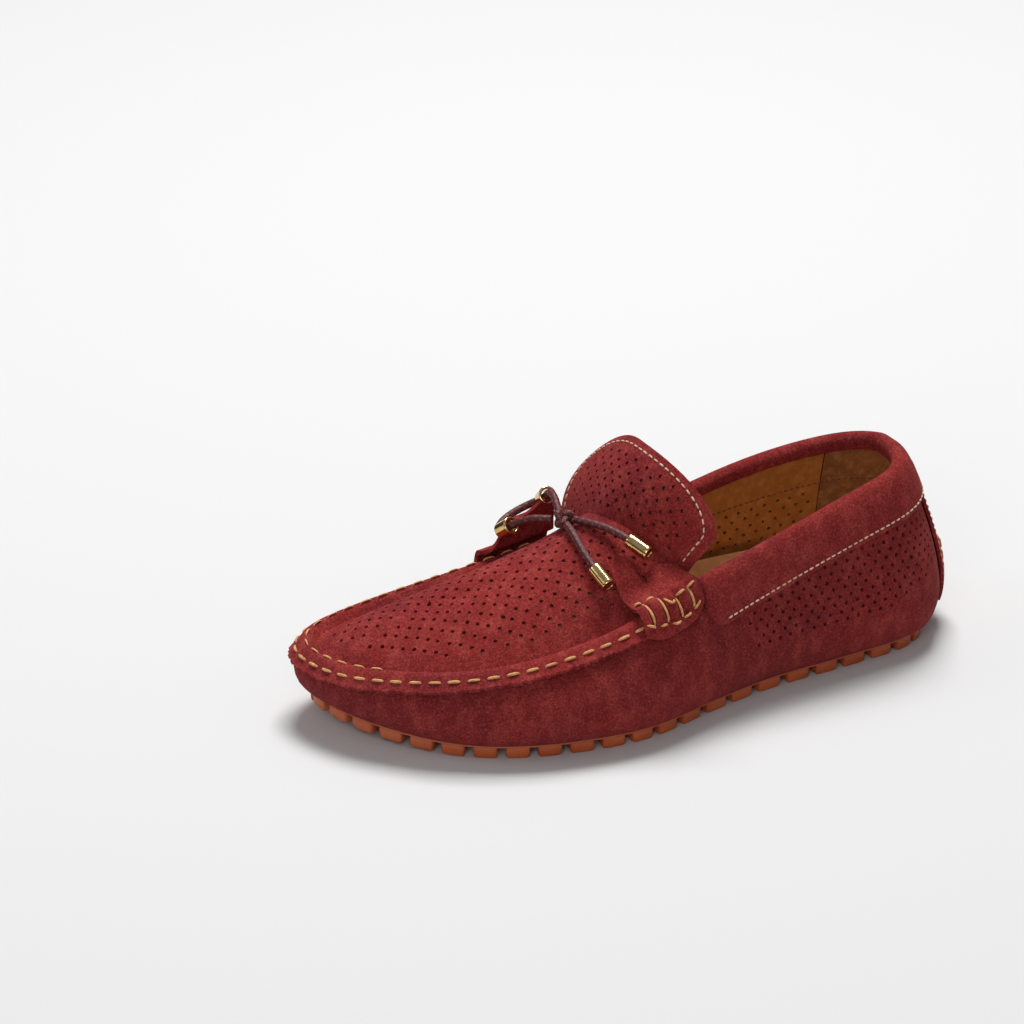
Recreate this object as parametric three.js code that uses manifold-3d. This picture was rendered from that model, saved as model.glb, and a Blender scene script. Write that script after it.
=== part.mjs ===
// A left driving moccasin with a lace tie: a suede wrap and apron on a nubbed rubber sole.
// Millimetres. +X runs from heel to toe, +Y to the outer (lateral) side of the foot, +Z up.
import * as THREE from 'three';
import { mergeVertices } from 'three/addons/utils/BufferGeometryUtils.js';
import Module from 'manifold-3d';

const wasm = await Module();
wasm.setup();

// ---- driving dimensions -------------------------------------------------------------------
const shoeLength = 280;        // widest line, heel to toe
const ballWidth = 113;         // widest line, across the ball
const heelHeight = 81;         // ground to the topline at the back
const instepHeight = 76;       // ground to the apron's rear edge at mid width
const tongueHeight = 104;      // ground to the tongue's top
const suede = 1.8;             // wrap, apron, tongue and tabs
const softLeather = 1.2;       // linings
const gap = 0.3;               // left between pieces that touch
const skinGap = 0.6;           // left under a skin that follows a curved wall
const nubHeight = 5;
const solePlate = 1.2;
const nubPitch = 13.4;         // round the edge of the sole
const nubShare = 0.76;         // of that pitch that a nub takes
const nubDepth = 8.5;
const treadPitch = 13.5;       // between the small nubs inside
const treadNub = 6.4;
const footInset = 6;           // from the widest line in to the edge that meets the sole
const wideHeight = 20;         // ground to the widest line
const toeSpring = 7.5;
const toeSpringLength = 55;
const heelSpring = 1.5;
const heelSpringLength = 25;
const boardThickness = 1.5;
const foamThickness = 3;
const sockThickness = 1;
const floorInset = 9;          // widest line to the rim of the inner soles
const counterThickness = 1.5;
const counterGap = 0.4;        // stiffeners to the wrap outside them and the lining inside
const counterBehind = suede + counterGap; // wall surface in to the stiffeners
const liningBehind = counterBehind + counterThickness + counterGap; // and to the lining
const collarDepth = 19.5;      // topline down to the collar's stitched edge
const wrapBelowTopline = 13;   // topline down to the wrap's edge under the collar
const wrapAboveSeam = 1.8;     // wrap's edge above the apron seam
const seamDrop = 4.2;          // apron seam below the line of the top edge
const laceDiameter = 3.3;
const agletDiameter = 6.4;
const agletLength = 10.5;
const agletWall = 0.6;
const tubeDiameter = 7;
const tubeWall = 0.7;
const tubeLength = 7;
const threadDiameter = 1.2;
const backstay = 1.4;          // thickness of the heel strip
const backstayWidth = 38;
const heelTabWidth = 28;
const heelTabTop = 38;         // ground to the heel tab's upper edge
const heelNub = 4.4;
const heelNubDepth = 1.3;
const tabWidth = 32;           // saddle tab, along the seam
const tabOuterReach = 8.5;     // saddle tab, from the seam down the wall
const tabInnerReach = 21;      // saddle tab, from the roll up over the instep
const rollRise = 3.6;          // middle of the tab's roll above the seam

// Marks round the widest line, heel, lateral side, toe, medial side: half lengths and half widths.
const outlineMarks = [
  [-1.0, -0.044], [-0.957, 0.345], [-0.829, 0.611], [-0.593, 0.69], [-0.321, 0.735],
  [-0.107, 0.841], [0.143, 1.0], [0.357, 0.973], [0.571, 0.823], [0.764, 0.522], [0.929, 0.044],
  [1.0, -0.381], [0.993, -0.699], [0.893, -0.912], [0.693, -1.0], [0.429, -0.973],
  [0.143, -0.858], [-0.143, -0.735], [-0.464, -0.699], [-0.786, -0.646], [-0.957, -0.398],
];
// Sixteen stations round the same way: the wall's lean inwards at its top edge, and the height of
// that edge as a share of the heel height.
const topInsets = [19, 18, 14.6, 12.1, 16.2, 19.2, 15.4, 9.5, 6.1, 6, 8.2, 7.6, 6.4, 5.1, 6.2, 14.5];
const topShares = [
  1.0, 0.984, 0.901, 0.786, 0.679, 0.562, 0.486, 0.438,
  0.404, 0.42, 0.477, 0.552, 0.667, 0.778, 0.893, 0.979,
];

const sections = 60;           // stations that the wall pieces are drawn on
const lateralRear = 14;        // of those, where the apron starts on the lateral side
const medialRear = 44;         // and on the medial side
const toeStation = sections / 2;

const red = 0x7d2a31;
const looks = {
  suede: [red, 0.95, 0],
  lining: [0x9a6230, 0.75, 0],
  board: [0xb08a5c, 0.9, 0],
  foam: [0xd8cbb0, 0.95, 0],
  sock: [0xd6a877, 0.8, 0],
  rubber: [0xb85c30, 0.7, 0],
  gold: [0xd8b878, 0.25, 1],
  lace: [0x5c2630, 0.6, 0],
  thread: [0xd7a871, 0.85, 0],
};

const shoe = new THREE.Group();

function addPart(name, look, geometry) {
  const [color, roughness, metalness] = looks[look];
  const mesh = new THREE.Mesh(geometry, new THREE.MeshStandardMaterial({ color, roughness, metalness }));
  mesh.name = name;
  shoe.add(mesh);
}

// ---- the last: outline, wall and floor ----------------------------------------------------
const outline = new THREE.CatmullRomCurve3(
  outlineMarks.map(([x, y]) => new THREE.Vector3(x * shoeLength / 2, y * ballWidth / 2, 0)),
  true, 'catmullrom', 0.5,
);
outline.arcLengthDivisions = 800;
const girth = outline.getLength();

const wrapShare = (share) => ((share % 1) + 1) % 1;

function aroundStations(values, share) {
  const at = wrapShare(share) * values.length;
  const i = Math.floor(at);
  const t = at - i;
  const pick = (k) => values[(i + k + values.length) % values.length];
  const [a, b, c, d] = [pick(-1), pick(0), pick(1), pick(2)];
  return b + 0.5 * t * (c - a + t * (2 * a - 5 * b + 4 * c - d + t * (3 * (b - c) + d - a)));
}

function outlineAt(share) {
  const point = outline.getPointAt(wrapShare(share));
  const along = outline.getTangentAt(wrapShare(share));
  return { point, inward: new THREE.Vector3(along.y, -along.x, 0).normalize() };
}

// How far the ground line lifts off the floor at the toe and at the back of the heel.
function lift(x) {
  const toe = Math.max(0, (x - shoeLength / 2 + toeSpringLength) / toeSpringLength);
  const heel = Math.max(0, (-x - shoeLength / 2 + heelSpringLength) / heelSpringLength);
  return toeSpring * toe * toe + heelSpring * heel * heel;
}

const wrapUnderside = nubHeight + solePlate + gap;
const topHeight = (share) => heelHeight * aroundStations(topShares, share);
const wallBend = 1.5;

const seamHeight = (share) => topHeight(share) - seamDrop;

// The wall's profile at one station: inset from the widest line at a height, and its slope there.
function wallProfile(share, height) {
  const { point, inward } = outlineAt(share);
  const footX = point.x + inward.x * footInset;
  const low = wrapUnderside + lift(footX);
  const wide = wideHeight + lift(footX) / 2;
  if (height <= wide) {
    const drop = Math.min(1, (wide - height) / (wide - low));
    const round = Math.sqrt(Math.max(0, 1 - drop * drop));
    const slope = new THREE.Vector2(-footInset * drop, (wide - low) * round).normalize();
    return { point, inward, inset: footInset * (1 - round), slope };
  }
  const rise = topHeight(share) - wide;
  const t = (height - wide) / rise;
  const lean = aroundStations(topInsets, share);
  const slope = new THREE.Vector2(wallBend * lean * Math.sqrt(t), rise).normalize();
  return { point, inward, inset: lean * t ** wallBend, slope };
}

// A point on the wall at a height, moved out of the surface by a distance.
function wall(share, height, out = 0) {
  const { point, inward, inset, slope } = wallProfile(share, height);
  const across = inset - slope.y * out;
  return point.clone().addScaledVector(inward, across).setZ(height + slope.x * out);
}

// A point near the apron's seam: up along the wall, and out of it.
function seam(share, up, out) {
  const top = seamHeight(share);
  const { point, inward, inset, slope } = wallProfile(share, top);
  const across = inset + slope.x * up - slope.y * out;
  return point.clone().addScaledVector(inward, across).setZ(top + slope.y * up + slope.x * out);
}

function spineAt(share) {
  const pair = THREE.MathUtils.clamp(Math.min(wrapShare(share), 1 - wrapShare(share)), 0.07, 0.44);
  return outline.getPointAt(pair).lerp(outline.getPointAt(1 - pair), 0.5);
}

function floorPoint(share, inset, toSpine, height) {
  const { point, inward } = outlineAt(share);
  const rim = point.clone().addScaledVector(inward, inset);
  rim.lerp(spineAt(share), toSpine);
  return rim.setZ(height + lift(rim.x));
}

// ---- solids from grids of points ----------------------------------------------------------
const range = (count, from = 0) => Array.from({ length: count }, (_, i) => i + from);

function closedGeometry(points, faces) {
  const flat = new THREE.BufferGeometry();
  flat.setAttribute('position', new THREE.Float32BufferAttribute(points.flatMap((p) => [p.x, p.y, p.z]), 3));
  flat.setIndex(faces.flat());
  const merged = mergeVertices(flat, 1e-3);
  const index = merged.index.array;
  const kept = [];
  for (let i = 0; i < index.length; i += 3) {
    const [a, b, c] = [index[i], index[i + 1], index[i + 2]];
    if (a !== b && b !== c && c !== a) kept.push(a, b, c);
  }
  const at = (i) => new THREE.Vector3().fromBufferAttribute(merged.attributes.position, i);
  let volume = 0;
  for (let i = 0; i < kept.length; i += 3) {
    volume += at(kept[i]).dot(at(kept[i + 1]).cross(at(kept[i + 2])));
  }
  if (volume < 0) kept.reverse();
  merged.setIndex(kept);
  return merged;
}

// Two matching grids become one closed shell. rowsClose joins the last row to the first, and
// open says which borders need a wall between the two grids.
function shell(outer, inner, { rowsClose = false, first = true, last = true, low = true, high = true } = {}) {
  const rows = outer.length;
  const columns = outer[0].length;
  const points = [...outer.flat(), ...inner.flat()];
  const id = (side, r, c) => side * rows * columns + (r % rows) * columns + c;
  const faces = [];
  const quad = (a, b, c, d) => faces.push([a, b, c], [a, c, d]);
  for (const r of range(rowsClose ? rows : rows - 1)) {
    for (const c of range(columns - 1)) {
      quad(id(0, r, c), id(0, r + 1, c), id(0, r + 1, c + 1), id(0, r, c + 1));
      quad(id(1, r, c), id(1, r, c + 1), id(1, r + 1, c + 1), id(1, r + 1, c));
    }
    if (low) quad(id(0, r, 0), id(1, r, 0), id(1, r + 1, 0), id(0, r + 1, 0));
    const c = columns - 1;
    if (high) quad(id(0, r, c), id(0, r + 1, c), id(1, r + 1, c), id(1, r, c));
  }
  for (const c of range(columns - 1)) {
    const r = rows - 1;
    if (first && !rowsClose) quad(id(0, 0, c), id(0, 0, c + 1), id(1, 0, c + 1), id(1, 0, c));
    if (last && !rowsClose) quad(id(0, r, c), id(1, r, c), id(1, r, c + 1), id(0, r, c + 1));
  }
  return closedGeometry(points, faces);
}

// A strip between two stations of the wall, from one surface distance to another.
function wallPatch(shares, heights, outFace, inFace) {
  const face = (out) => shares.map((s) => heights(s).map((h) => wall(s, h, out)));
  return shell(face(outFace), face(inFace));
}

const stations = (from, to) => range(to - from + 1, from).map((k) => k / sections);
const between = (from, to, count) => range(count + 1).map((i) => from + (to - from) * i / count);

// ---- suede wrap ---------------------------------------------------------------------------
const wholeRound = range(sections).map((k) => k / sections);
const isFront = (share) => share > (lateralRear + 0.5) / sections && share < (medialRear - 0.5) / sections;

function wrapRow(share, out) {
  const lifted = out < 0 ? suede : 0;
  const foot = (toSpine) => floorPoint(share, footInset, toSpine, wrapUnderside + lifted);
  const { point, inward } = outlineAt(share);
  const footX = point.x + inward.x * footInset;
  const low = wrapUnderside + lift(footX);
  const wide = wideHeight + lift(footX) / 2;
  const edge = isFront(share) ? seamHeight(share) : topHeight(share) - wrapBelowTopline;
  const turn = [30, 60, 90].map((a) => wide - (wide - low) * Math.cos(THREE.MathUtils.degToRad(a)));
  const heights = [...turn, ...[0.3, 0.6, 0.85].map((t) => wide + (edge - wide) * t)];
  const last = isFront(share) ? seam(share, wrapAboveSeam, out) : wall(share, edge, out);
  return [foot(1), foot(0.5), foot(0), ...heights.map((h) => wall(share, h, out)), last];
}
addPart('moccasin_wrap', 'suede', shell(
  wholeRound.map((s) => wrapRow(s, 0)), wholeRound.map((s) => wrapRow(s, -suede)),
  { rowsClose: true, low: false },
));

// ---- inner soles --------------------------------------------------------------------------
function innerSole(bottom, thickness, inset) {
  const face = (height) => wholeRound.map((s) => [1, 0.5, 0].map((t) => floorPoint(s, inset, t, height)));
  return shell(face(bottom + thickness), face(bottom), { rowsClose: true, low: false });
}
const boardBottom = wrapUnderside + suede + gap;
const foamBottom = boardBottom + boardThickness + gap;
const sockBottom = foamBottom + foamThickness + gap;
const sockTop = sockBottom + sockThickness;
addPart('insole_board', 'board', innerSole(boardBottom, boardThickness, floorInset));
addPart('insole_foam', 'foam', innerSole(foamBottom, foamThickness, floorInset));
addPart('sock_lining', 'sock', innerSole(sockBottom, sockThickness, floorInset));

// ---- rubber sole --------------------------------------------------------------------------
function solid(geometry) {
  const position = geometry.attributes.position.array;
  const mesh = new wasm.Mesh({
    numProp: 3, vertProperties: new Float32Array(position), triVerts: new Uint32Array(geometry.index.array),
  });
  return new wasm.Manifold(mesh);
}

function fromSolid(body) {
  const mesh = body.getMesh();
  const geometry = new THREE.BufferGeometry();
  geometry.setAttribute('position', new THREE.BufferAttribute(new Float32Array(mesh.vertProperties), 3));
  geometry.setIndex(new THREE.BufferAttribute(new Uint32Array(mesh.triVerts), 1));
  return geometry;
}

function block(lowCorners, highCorners) {
  return shell([[highCorners[0], highCorners[1]], [highCorners[3], highCorners[2]]],
    [[lowCorners[0], lowCorners[1]], [lowCorners[3], lowCorners[2]]]);
}

const nubSink = 0.6;           // how far a nub runs up into the plate
const nubDraft = 0.5;          // each side, wider at the plate

// A nub stands under four corners of the plate; each corner follows the sole's lift.
function nub(center, along, across, width, depth) {
  const corners = (grow) => [[-1, -1], [1, -1], [1, 1], [-1, 1]].map(([a, b]) => center.clone()
    .addScaledVector(along, a * (width / 2 + grow)).addScaledVector(across, b * (depth / 2 + grow)));
  const low = corners(-nubDraft).map((p) => p.setZ(lift(p.x)));
  const high = corners(0).map((p) => p.setZ(nubHeight + nubSink + lift(p.x)));
  return solid(block(low, high));
}

function soleSpan(x) {
  const ys = range(400).map((i) => outline.getPointAt(i / 400)).filter((p) => Math.abs(p.x - x) < 3);
  return [Math.min(...ys.map((p) => p.y)), Math.max(...ys.map((p) => p.y))];
}

const plateInset = footInset + 0.5;
const plateFace = (height) => wholeRound.map((s) => (
  [1, 0.5, 0].map((t) => floorPoint(s, plateInset, t, height))));
const soleTop = nubHeight + solePlate;
let sole = solid(shell(plateFace(soleTop), plateFace(nubHeight), { rowsClose: true, low: false }));
const nubCount = Math.round((girth - 2 * Math.PI * footInset) / nubPitch);
for (const i of range(nubCount)) {
  const { point, inward } = outlineAt((i + 0.5) / nubCount);
  const along = new THREE.Vector3(-inward.y, inward.x, 0);
  const center = point.clone().addScaledVector(inward, plateInset + 0.2 + nubDepth / 2);
  sole = sole.add(nub(center, along, inward, nubPitch * nubShare, nubDepth));
}
const treadMargin = plateInset + nubDepth + 9;
const treadRows = Math.floor((shoeLength - 2 * treadMargin) / treadPitch);
for (const row of range(treadRows + 1)) {
  const x = (row - treadRows / 2) * treadPitch;
  const [low, high] = soleSpan(x);
  const count = Math.floor((high - low - 2 * treadMargin) / treadPitch);
  for (const i of range(Math.max(0, count + 1))) {
    const y = (low + high) / 2 + (i - count / 2) * treadPitch;
    const ends = Math.abs(x) > shoeLength / 2 - treadMargin - 6;
    if (!ends) {
      sole = sole.add(nub(new THREE.Vector3(x, y, 0), new THREE.Vector3(1, 0, 0),
        new THREE.Vector3(0, 1, 0), treadNub, treadNub));
    }
  }
}
addPart('rubber_sole', 'rubber', fromSolid(sole));

// ---- heel: backstay, rubber tab, counter and grip -----------------------------------------
const halfBackstay = backstayWidth / 2 / girth;
const backstayFoot = wrapUnderside + 4;
const backstayLow = backstayFoot + heelSpring;
addPart('backstay', 'suede', wallPatch(
  between(-halfBackstay, halfBackstay, 6),
  (s) => between(backstayLow, topHeight(s) - collarDepth - gap, 9), skinGap + backstay, skinGap,
));

const halfTab = heelTabWidth / 2 / girth;
const tabFace = skinGap + backstay + gap;
const tabThickness = 0.9;
let heelTab = solid(wallPatch(between(-halfTab, halfTab, 5), () => between(backstayLow, heelTabTop, 6),
  tabFace + tabThickness, tabFace));
for (const column of [-1, 0, 1]) {
  for (const row of range(4)) {
    const share = column * halfTab * 0.62;
    const height = backstayLow + 5 + row * (heelTabTop - backstayLow - 10) / 3;
    const half = heelNub / 2;
    const face = (out, grow) => [-1, 1].map((a) => [-1, 1].map((b) => (
      wall(share + a * (half + grow) / girth, height + b * (half + grow), out))));
    heelTab = heelTab.add(solid(shell(
      face(tabFace + tabThickness + heelNubDepth, -0.3), face(tabFace + tabThickness - 0.6, 0))));
  }
}
addPart('heel_rubber_tab', 'rubber', fromSolid(heelTab));

addPart('heel_counter', 'board', wallPatch(
  stations(-7, 7), () => between(sockTop + 4, 50, 3), -counterBehind, -counterBehind - counterThickness,
));
addPart('toe_puff', 'board', wallPatch(
  stations(26, 34), (s) => between(wideHeight + 4, seamHeight(s) - 3, 2), -counterBehind, -counterBehind - 1,
));

// ---- linings ------------------------------------------------------------------------------
const liningFoot = sockTop + gap + 1;
function liningPatch(shares) {
  return wallPatch(shares, (s) => between(liningFoot + lift(outlineAt(s).point.x), topHeight(s) - 5.2, 5),
    -liningBehind, -liningBehind - softLeather);
}
const gripEdge = 5;            // stations from the heel to the grip's side seams
const seamGap = 2 * gap / girth;
const collarMedial = medialRear - sections;
addPart('heel_grip_lining', 'lining', liningPatch(stations(-gripEdge, gripEdge)));
addPart('lining_lateral', 'lining', liningPatch(
  [gripEdge / sections + seamGap, ...stations(gripEdge + 1, lateralRear)]));
addPart('lining_medial', 'lining', liningPatch(
  [...stations(collarMedial, -gripEdge - 1), -gripEdge / sections - seamGap]));

// ---- padded collar ------------------------------------------------------------------------
const collarLap = collarDepth - wrapBelowTopline;
// Sections of the band and its padding: out of the wall, and down from the topline.
const collarOuter = [[0.4, collarDepth], [1.9, collarDepth], [3.0, collarDepth - collarLap / 2],
  [3.3, wrapBelowTopline - 3], [3.2, 5], [1.8, 0.8], [-1, -0.8], [-4, 0.5], [-5.4, 4.4]];
const collarInner = [[0.4, collarDepth - 1.6], [0.4, collarDepth - 3], [0.5, collarDepth - collarLap / 2 - 1],
  [1.5, wrapBelowTopline - 1], [1.8, 5], [0.6, 2], [-1, 0.8], [-3.2, 1.9], [-4.1, 4.4]];
const foamOuter = [[1.0, wrapBelowTopline - 1], [1.4, 5], [0.4, 2.4], [-1, 1.3], [-2.9, 2.3], [-3.7, 4.6]];
const foamInner = [[-0.6, wrapBelowTopline - 1], [-0.8, 8], [-0.9, 5.5], [-1.4, 4.8], [-2, 4.8], [-3.0, 5.0]];
const collarStations = [collarMedial / sections + seamGap, ...stations(collarMedial + 1, lateralRear - 1),
  lateralRear / sections - seamGap];
const collarFace = (profile) => collarStations.map((s) => (
  profile.map(([out, down]) => wall(s, topHeight(s) - down, out))));
addPart('collar_band', 'suede', shell(collarFace(collarOuter), collarFace(collarInner)));
addPart('collar_foam', 'foam', shell(collarFace(foamOuter), collarFace(foamInner)));

// ---- apron --------------------------------------------------------------------------------
const apronCrownRear = 17;     // x of the apron's rear edge at mid width
const apronCrownToe = 101;     // x where the apron's crown line ends
const toeCrown = 44;           // ground to the crown line's front end
const crownBend = 1.35;
const alignedFrom = 20;        // station from which the two sides run level

// Height of the instep's crown line.
function crownAt(x) {
  const share = Math.max(0, (apronCrownToe - x) / (apronCrownToe - apronCrownRear));
  return toeCrown + (instepHeight - toeCrown) * share ** crownBend;
}

function medialShare(station) {
  if (station >= alignedFrom) return 1 - station / sections;
  const t = (station - lateralRear) / (alignedFrom - lateralRear);
  return THREE.MathUtils.lerp(medialRear, sections - alignedFrom, t) / sections;
}

// The apron's edge in section, up along the wall and out of it, from its raw lip over the ridge.
const ridgeOuter = [
  [-3.6, 2.6], [-1.6, 2.1], [0, 1.9], [2.6, 2.0], [4.6, 1.2], [5.4, -0.8], [4.6, -3.2], [4.0, -5.6],
];
const ridgeInner = [
  [-3.9, 0.9], [-1.6, 0.5], [0, 0.4], [1.9, 0.5], [2.9, -0.1], [3.5, -1.2], [2.9, -3.3], [2.4, -5.2],
];
const domeSteps = [0.8, 0.55, 0.28];

// A point of the domed instep on one side of a row: 1 at the ridge's foot, 0 on the crown line.
function domePoint(station, side, toRim) {
  const rims = [station / sections, medialShare(station)].map((s) => seam(s, ...ridgeOuter.at(-1)));
  const rim = rims[side];
  const t = (station - lateralRear) / (toeStation - lateralRear);
  const crownX = THREE.MathUtils.lerp(apronCrownRear, apronCrownToe, t);
  const crown = new THREE.Vector3(crownX, (rims[0].y + rims[1].y) / 2, crownAt(crownX));
  const height = THREE.MathUtils.lerp(crown.z, rim.z, toRim * toRim);
  return crown.lerp(rim, toRim).setZ(height);
}

function apronRow(station, profile, drop) {
  const halves = [0, 1].map((side) => {
    const share = side === 0 ? station / sections : medialShare(station);
    const rim = profile.map(([up, out]) => seam(share, up, out));
    const dome = domeSteps.map((r) => domePoint(station, side, r).add(new THREE.Vector3(0, 0, -drop)));
    return [...rim, ...dome];
  });
  const crown = domePoint(station, 0, 0).add(new THREE.Vector3(0, 0, -drop));
  return [...halves[0], crown, ...halves[1].reverse()];
}
const apronStations = range(toeStation - lateralRear + 1, lateralRear);
addPart('apron', 'suede', shell(
  apronStations.map((k) => apronRow(k, ridgeOuter, 0)),
  apronStations.map((k) => apronRow(k, ridgeInner, suede)), { last: false },
));

const liningSteps = [0.92, 0.7, 0.4, 0];
function apronLiningRow(station, drop) {
  const under = new THREE.Vector3(0, 0, -drop);
  const half = (side) => liningSteps.map((r) => domePoint(station, side, r).add(under));
  return [...half(0), ...half(1).reverse().slice(1)];
}
const liningStations = range(toeStation - lateralRear - 1, lateralRear);
const liningFace = (drop) => liningStations.map((k) => apronLiningRow(k, drop));
const liningDrop = suede + 2 * skinGap;
addPart('apron_lining', 'lining', shell(liningFace(liningDrop), liningFace(liningDrop + softLeather)));

// ---- tongue -------------------------------------------------------------------------------
const tongueTopX = -4;
const tongueTopSides = [[-22, 39, 88], [2, -45, 80]];
const tongueTopMiddle = -8;
const tongueRound = 3.4;
const tongueBulge = [7.2, 6]; // how far its lateral and medial sides swell at mid height
const tongueBase = lateralRear;

// A point of the tongue: across from -1 lateral to 1 medial, up from 0 at its base to 1.
function tonguePoint(across, up) {
  const side = across < 0 ? 0 : 1;
  const low = domePoint(tongueBase, side, Math.abs(across));
  low.x -= 2 * gap;
  const [x, y, z] = tongueTopSides[side];
  const reach = Math.abs(across);
  const high = new THREE.Vector3(
    THREE.MathUtils.lerp(tongueTopX, x, reach * reach),
    THREE.MathUtils.lerp(tongueTopMiddle, y, reach),
    THREE.MathUtils.lerp(tongueHeight, z, reach * reach),
  );
  const bow = 4 * up * (1 - up);
  const swell = tongueBulge[side] * 5.4 * up ** 1.7 * (1 - up);
  return low.lerp(high, up).add(new THREE.Vector3(1.5 * bow, -across * swell, 1.5 * bow));
}
const tongueAcross = between(-0.95, 0.985, 14);
const tongueGrid = range(7).map((row) => tongueAcross.map((across) => {
  const top = (1 - Math.abs(across) ** tongueRound) ** (1 / tongueRound);
  return tonguePoint(across, top * row / 6);
}));

function offsetGrid(grid, out) {
  const rows = grid.length;
  const columns = grid[0].length;
  const near = (i, count) => THREE.MathUtils.clamp(i, 0, count - 1);
  return grid.map((row, r) => row.map((point, c) => {
    const down = grid[near(r + 1, rows)][c].clone().sub(grid[near(r - 1, rows)][c]);
    const over = row[near(c + 1, columns)].clone().sub(row[near(c - 1, columns)]);
    return point.clone().addScaledVector(over.cross(down).normalize(), out);
  }));
}
addPart('tongue', 'suede', shell(tongueGrid, offsetGrid(tongueGrid, suede)));
addPart('tongue_lining', 'lining', shell(offsetGrid(tongueGrid, suede + skinGap),
  offsetGrid(tongueGrid, suede + skinGap + softLeather)));

// ---- saddle tabs --------------------------------------------------------------------------
const lateralTabAt = 0.26;     // shares of the way round at the tabs' middles
const medialTabAt = 0.708;
// The tab's upper face in section, in seam coordinates, from the outer flap over the roll.
const rollFace = [
  [-tabOuterReach, 4.8], [-5, 5.2], [rollRise - 5, 5.4], [rollRise, 5.8], [rollRise + 4, 4.6],
  [rollRise + 6, 1.8],
];

function saddleTab(center, flapSpan, flapPoint, flapCut) {
  const across = between(-1, 1, 8);
  const along = between(0, 1, 12);
  const grid = across.map((a) => {
    const share = (index, count) => {
      const onFlap = Math.max(0, index - rollFace.length + 1) / count;
      return center + a * tabWidth / 2 / girth * THREE.MathUtils.lerp(1, flapSpan, onFlap);
    };
    const roll = rollFace.map(([up, out]) => seam(share(0, 1), up, out));
    const flap = [1, 2, 3].map((i) => flapPoint(share(rollFace.length + i - 1, 3), i / 3));
    const line = new THREE.CatmullRomCurve3([...roll, ...flap], false, 'centripetal');
    const start = 0.14 * Math.abs(a) ** 4;
    return along.map((t) => line.getPointAt(THREE.MathUtils.lerp(start, 1 - flapCut(a), t)));
  });
  const back = offsetGrid(grid, -suede);
  return shell(grid, back);
}

// The lateral flap lies up over the apron, a little clear of it, and its free end lifts.
function lateralFlap(share, t) {
  const reach = tabInnerReach * t;
  const foot = seam(share, ...ridgeOuter.at(-1));
  const { inward } = outlineAt(share);
  const fall = 0.95;
  return foot.addScaledVector(inward, reach * 0.72).add(new THREE.Vector3(0, 0, 4 + reach * fall - t * t));
}

// The medial flap stands up from the roll and carries the eyelet tubes.
function medialFlap(share, t) {
  const foot = seam(share, rollRise + 6, 1.5);
  const { inward } = outlineAt(share);
  return foot.addScaledVector(inward, 2.2 * t).add(new THREE.Vector3(0, 0, 2 + 10 * t));
}

// How much of its length the flap's free edge is cut back, from -1 at its rear to 1 in front.
const roundEnd = (a) => 0.1 * Math.abs(a) ** 6;
const twoLobes = (a) => (
  roundEnd(a) + 0.3 * THREE.MathUtils.smoothstep(-a, -0.5, 0.2) + 0.05 * Math.exp(-30 * a * a));
const laceCorner = (a) => roundEnd(a) + 0.36 * THREE.MathUtils.smoothstep(-a, 0.1, 0.75);
addPart('saddle_tab_lateral', 'suede', saddleTab(lateralTabAt, 1.06, lateralFlap, twoLobes));
addPart('saddle_tab_medial', 'suede', saddleTab(medialTabAt, 0.95, medialFlap, laceCorner));

// ---- lace, knot, eyelet tubes and aglets --------------------------------------------------
const point = ([x, y, z]) => new THREE.Vector3(x, y, z);

function turned(profile, sides) {
  const lathe = new THREE.LatheGeometry(profile.map(([r, z]) => new THREE.Vector2(r, z)), sides);
  return merge(lathe);
}

function merge(geometry) {
  const plain = geometry.index ? geometry.toNonIndexed() : geometry;
  const position = plain.attributes.position;
  const points = range(position.count).map((i) => new THREE.Vector3().fromBufferAttribute(position, i));
  return closedGeometry(points, range(position.count / 3).map((i) => [3 * i, 3 * i + 1, 3 * i + 2]));
}

function cord(points, diameter, steps, sides = 8) {
  const section = new THREE.Shape(range(sides).map((i) => {
    const angle = 2 * Math.PI * i / sides;
    return new THREE.Vector2(Math.cos(angle), Math.sin(angle)).multiplyScalar(diameter / 2);
  }));
  const extrudePath = new THREE.CatmullRomCurve3(points.map(point), false, 'centripetal');
  return merge(new THREE.ExtrudeGeometry(section, { steps, extrudePath, bevelEnabled: false }));
}

// A turned piece is drawn along +Y from its foot, then laid along an axis.
function laid(geometry, foot, axis) {
  const up = new THREE.Vector3(0, 1, 0);
  const turn = new THREE.Quaternion().setFromUnitVectors(up, axis.clone().normalize());
  return geometry.applyQuaternion(turn).translate(foot.x, foot.y, foot.z);
}

// Each tube's place along the tab from its middle, in half widths, its mouth from the tab's
// line there, and the direction it faces.
const tubePlaces = {
  eyelet_tube_rear: [0.73, [0.01, 4.39, 17.34], [0.15, 0.8, 0.58]],
  eyelet_tube_front: [-0.47, [-0.06, 10.91, 13.81], [-0.25, 0.75, 0.6]],
};
const [tubeOut, tubeIn] = [tubeDiameter / 2, tubeDiameter / 2 - tubeWall];
for (const [name, [along, offset, axis]] of Object.entries(tubePlaces)) {
  const direction = point(axis).normalize();
  const mouth = seam(medialTabAt + along * tabWidth / 2 / girth, rollRise + 6, 1.5).add(point(offset));
  const foot = mouth.addScaledVector(direction, -tubeLength);
  const profile = [[tubeIn, 0], [tubeOut, 0], [tubeOut, tubeLength], [tubeIn, tubeLength], [tubeIn, 0]];
  addPart(name, 'gold', laid(turned(profile, 16), foot, direction));
}

const knotAt = [28, -14.5, 73];
const knotSize = [9, 9, 7.4];
const knot = merge(new THREE.SphereGeometry(0.5, 12, 8)).scale(...knotSize);
addPart('lace_knot', 'lace', knot.translate(...knotAt));

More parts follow.
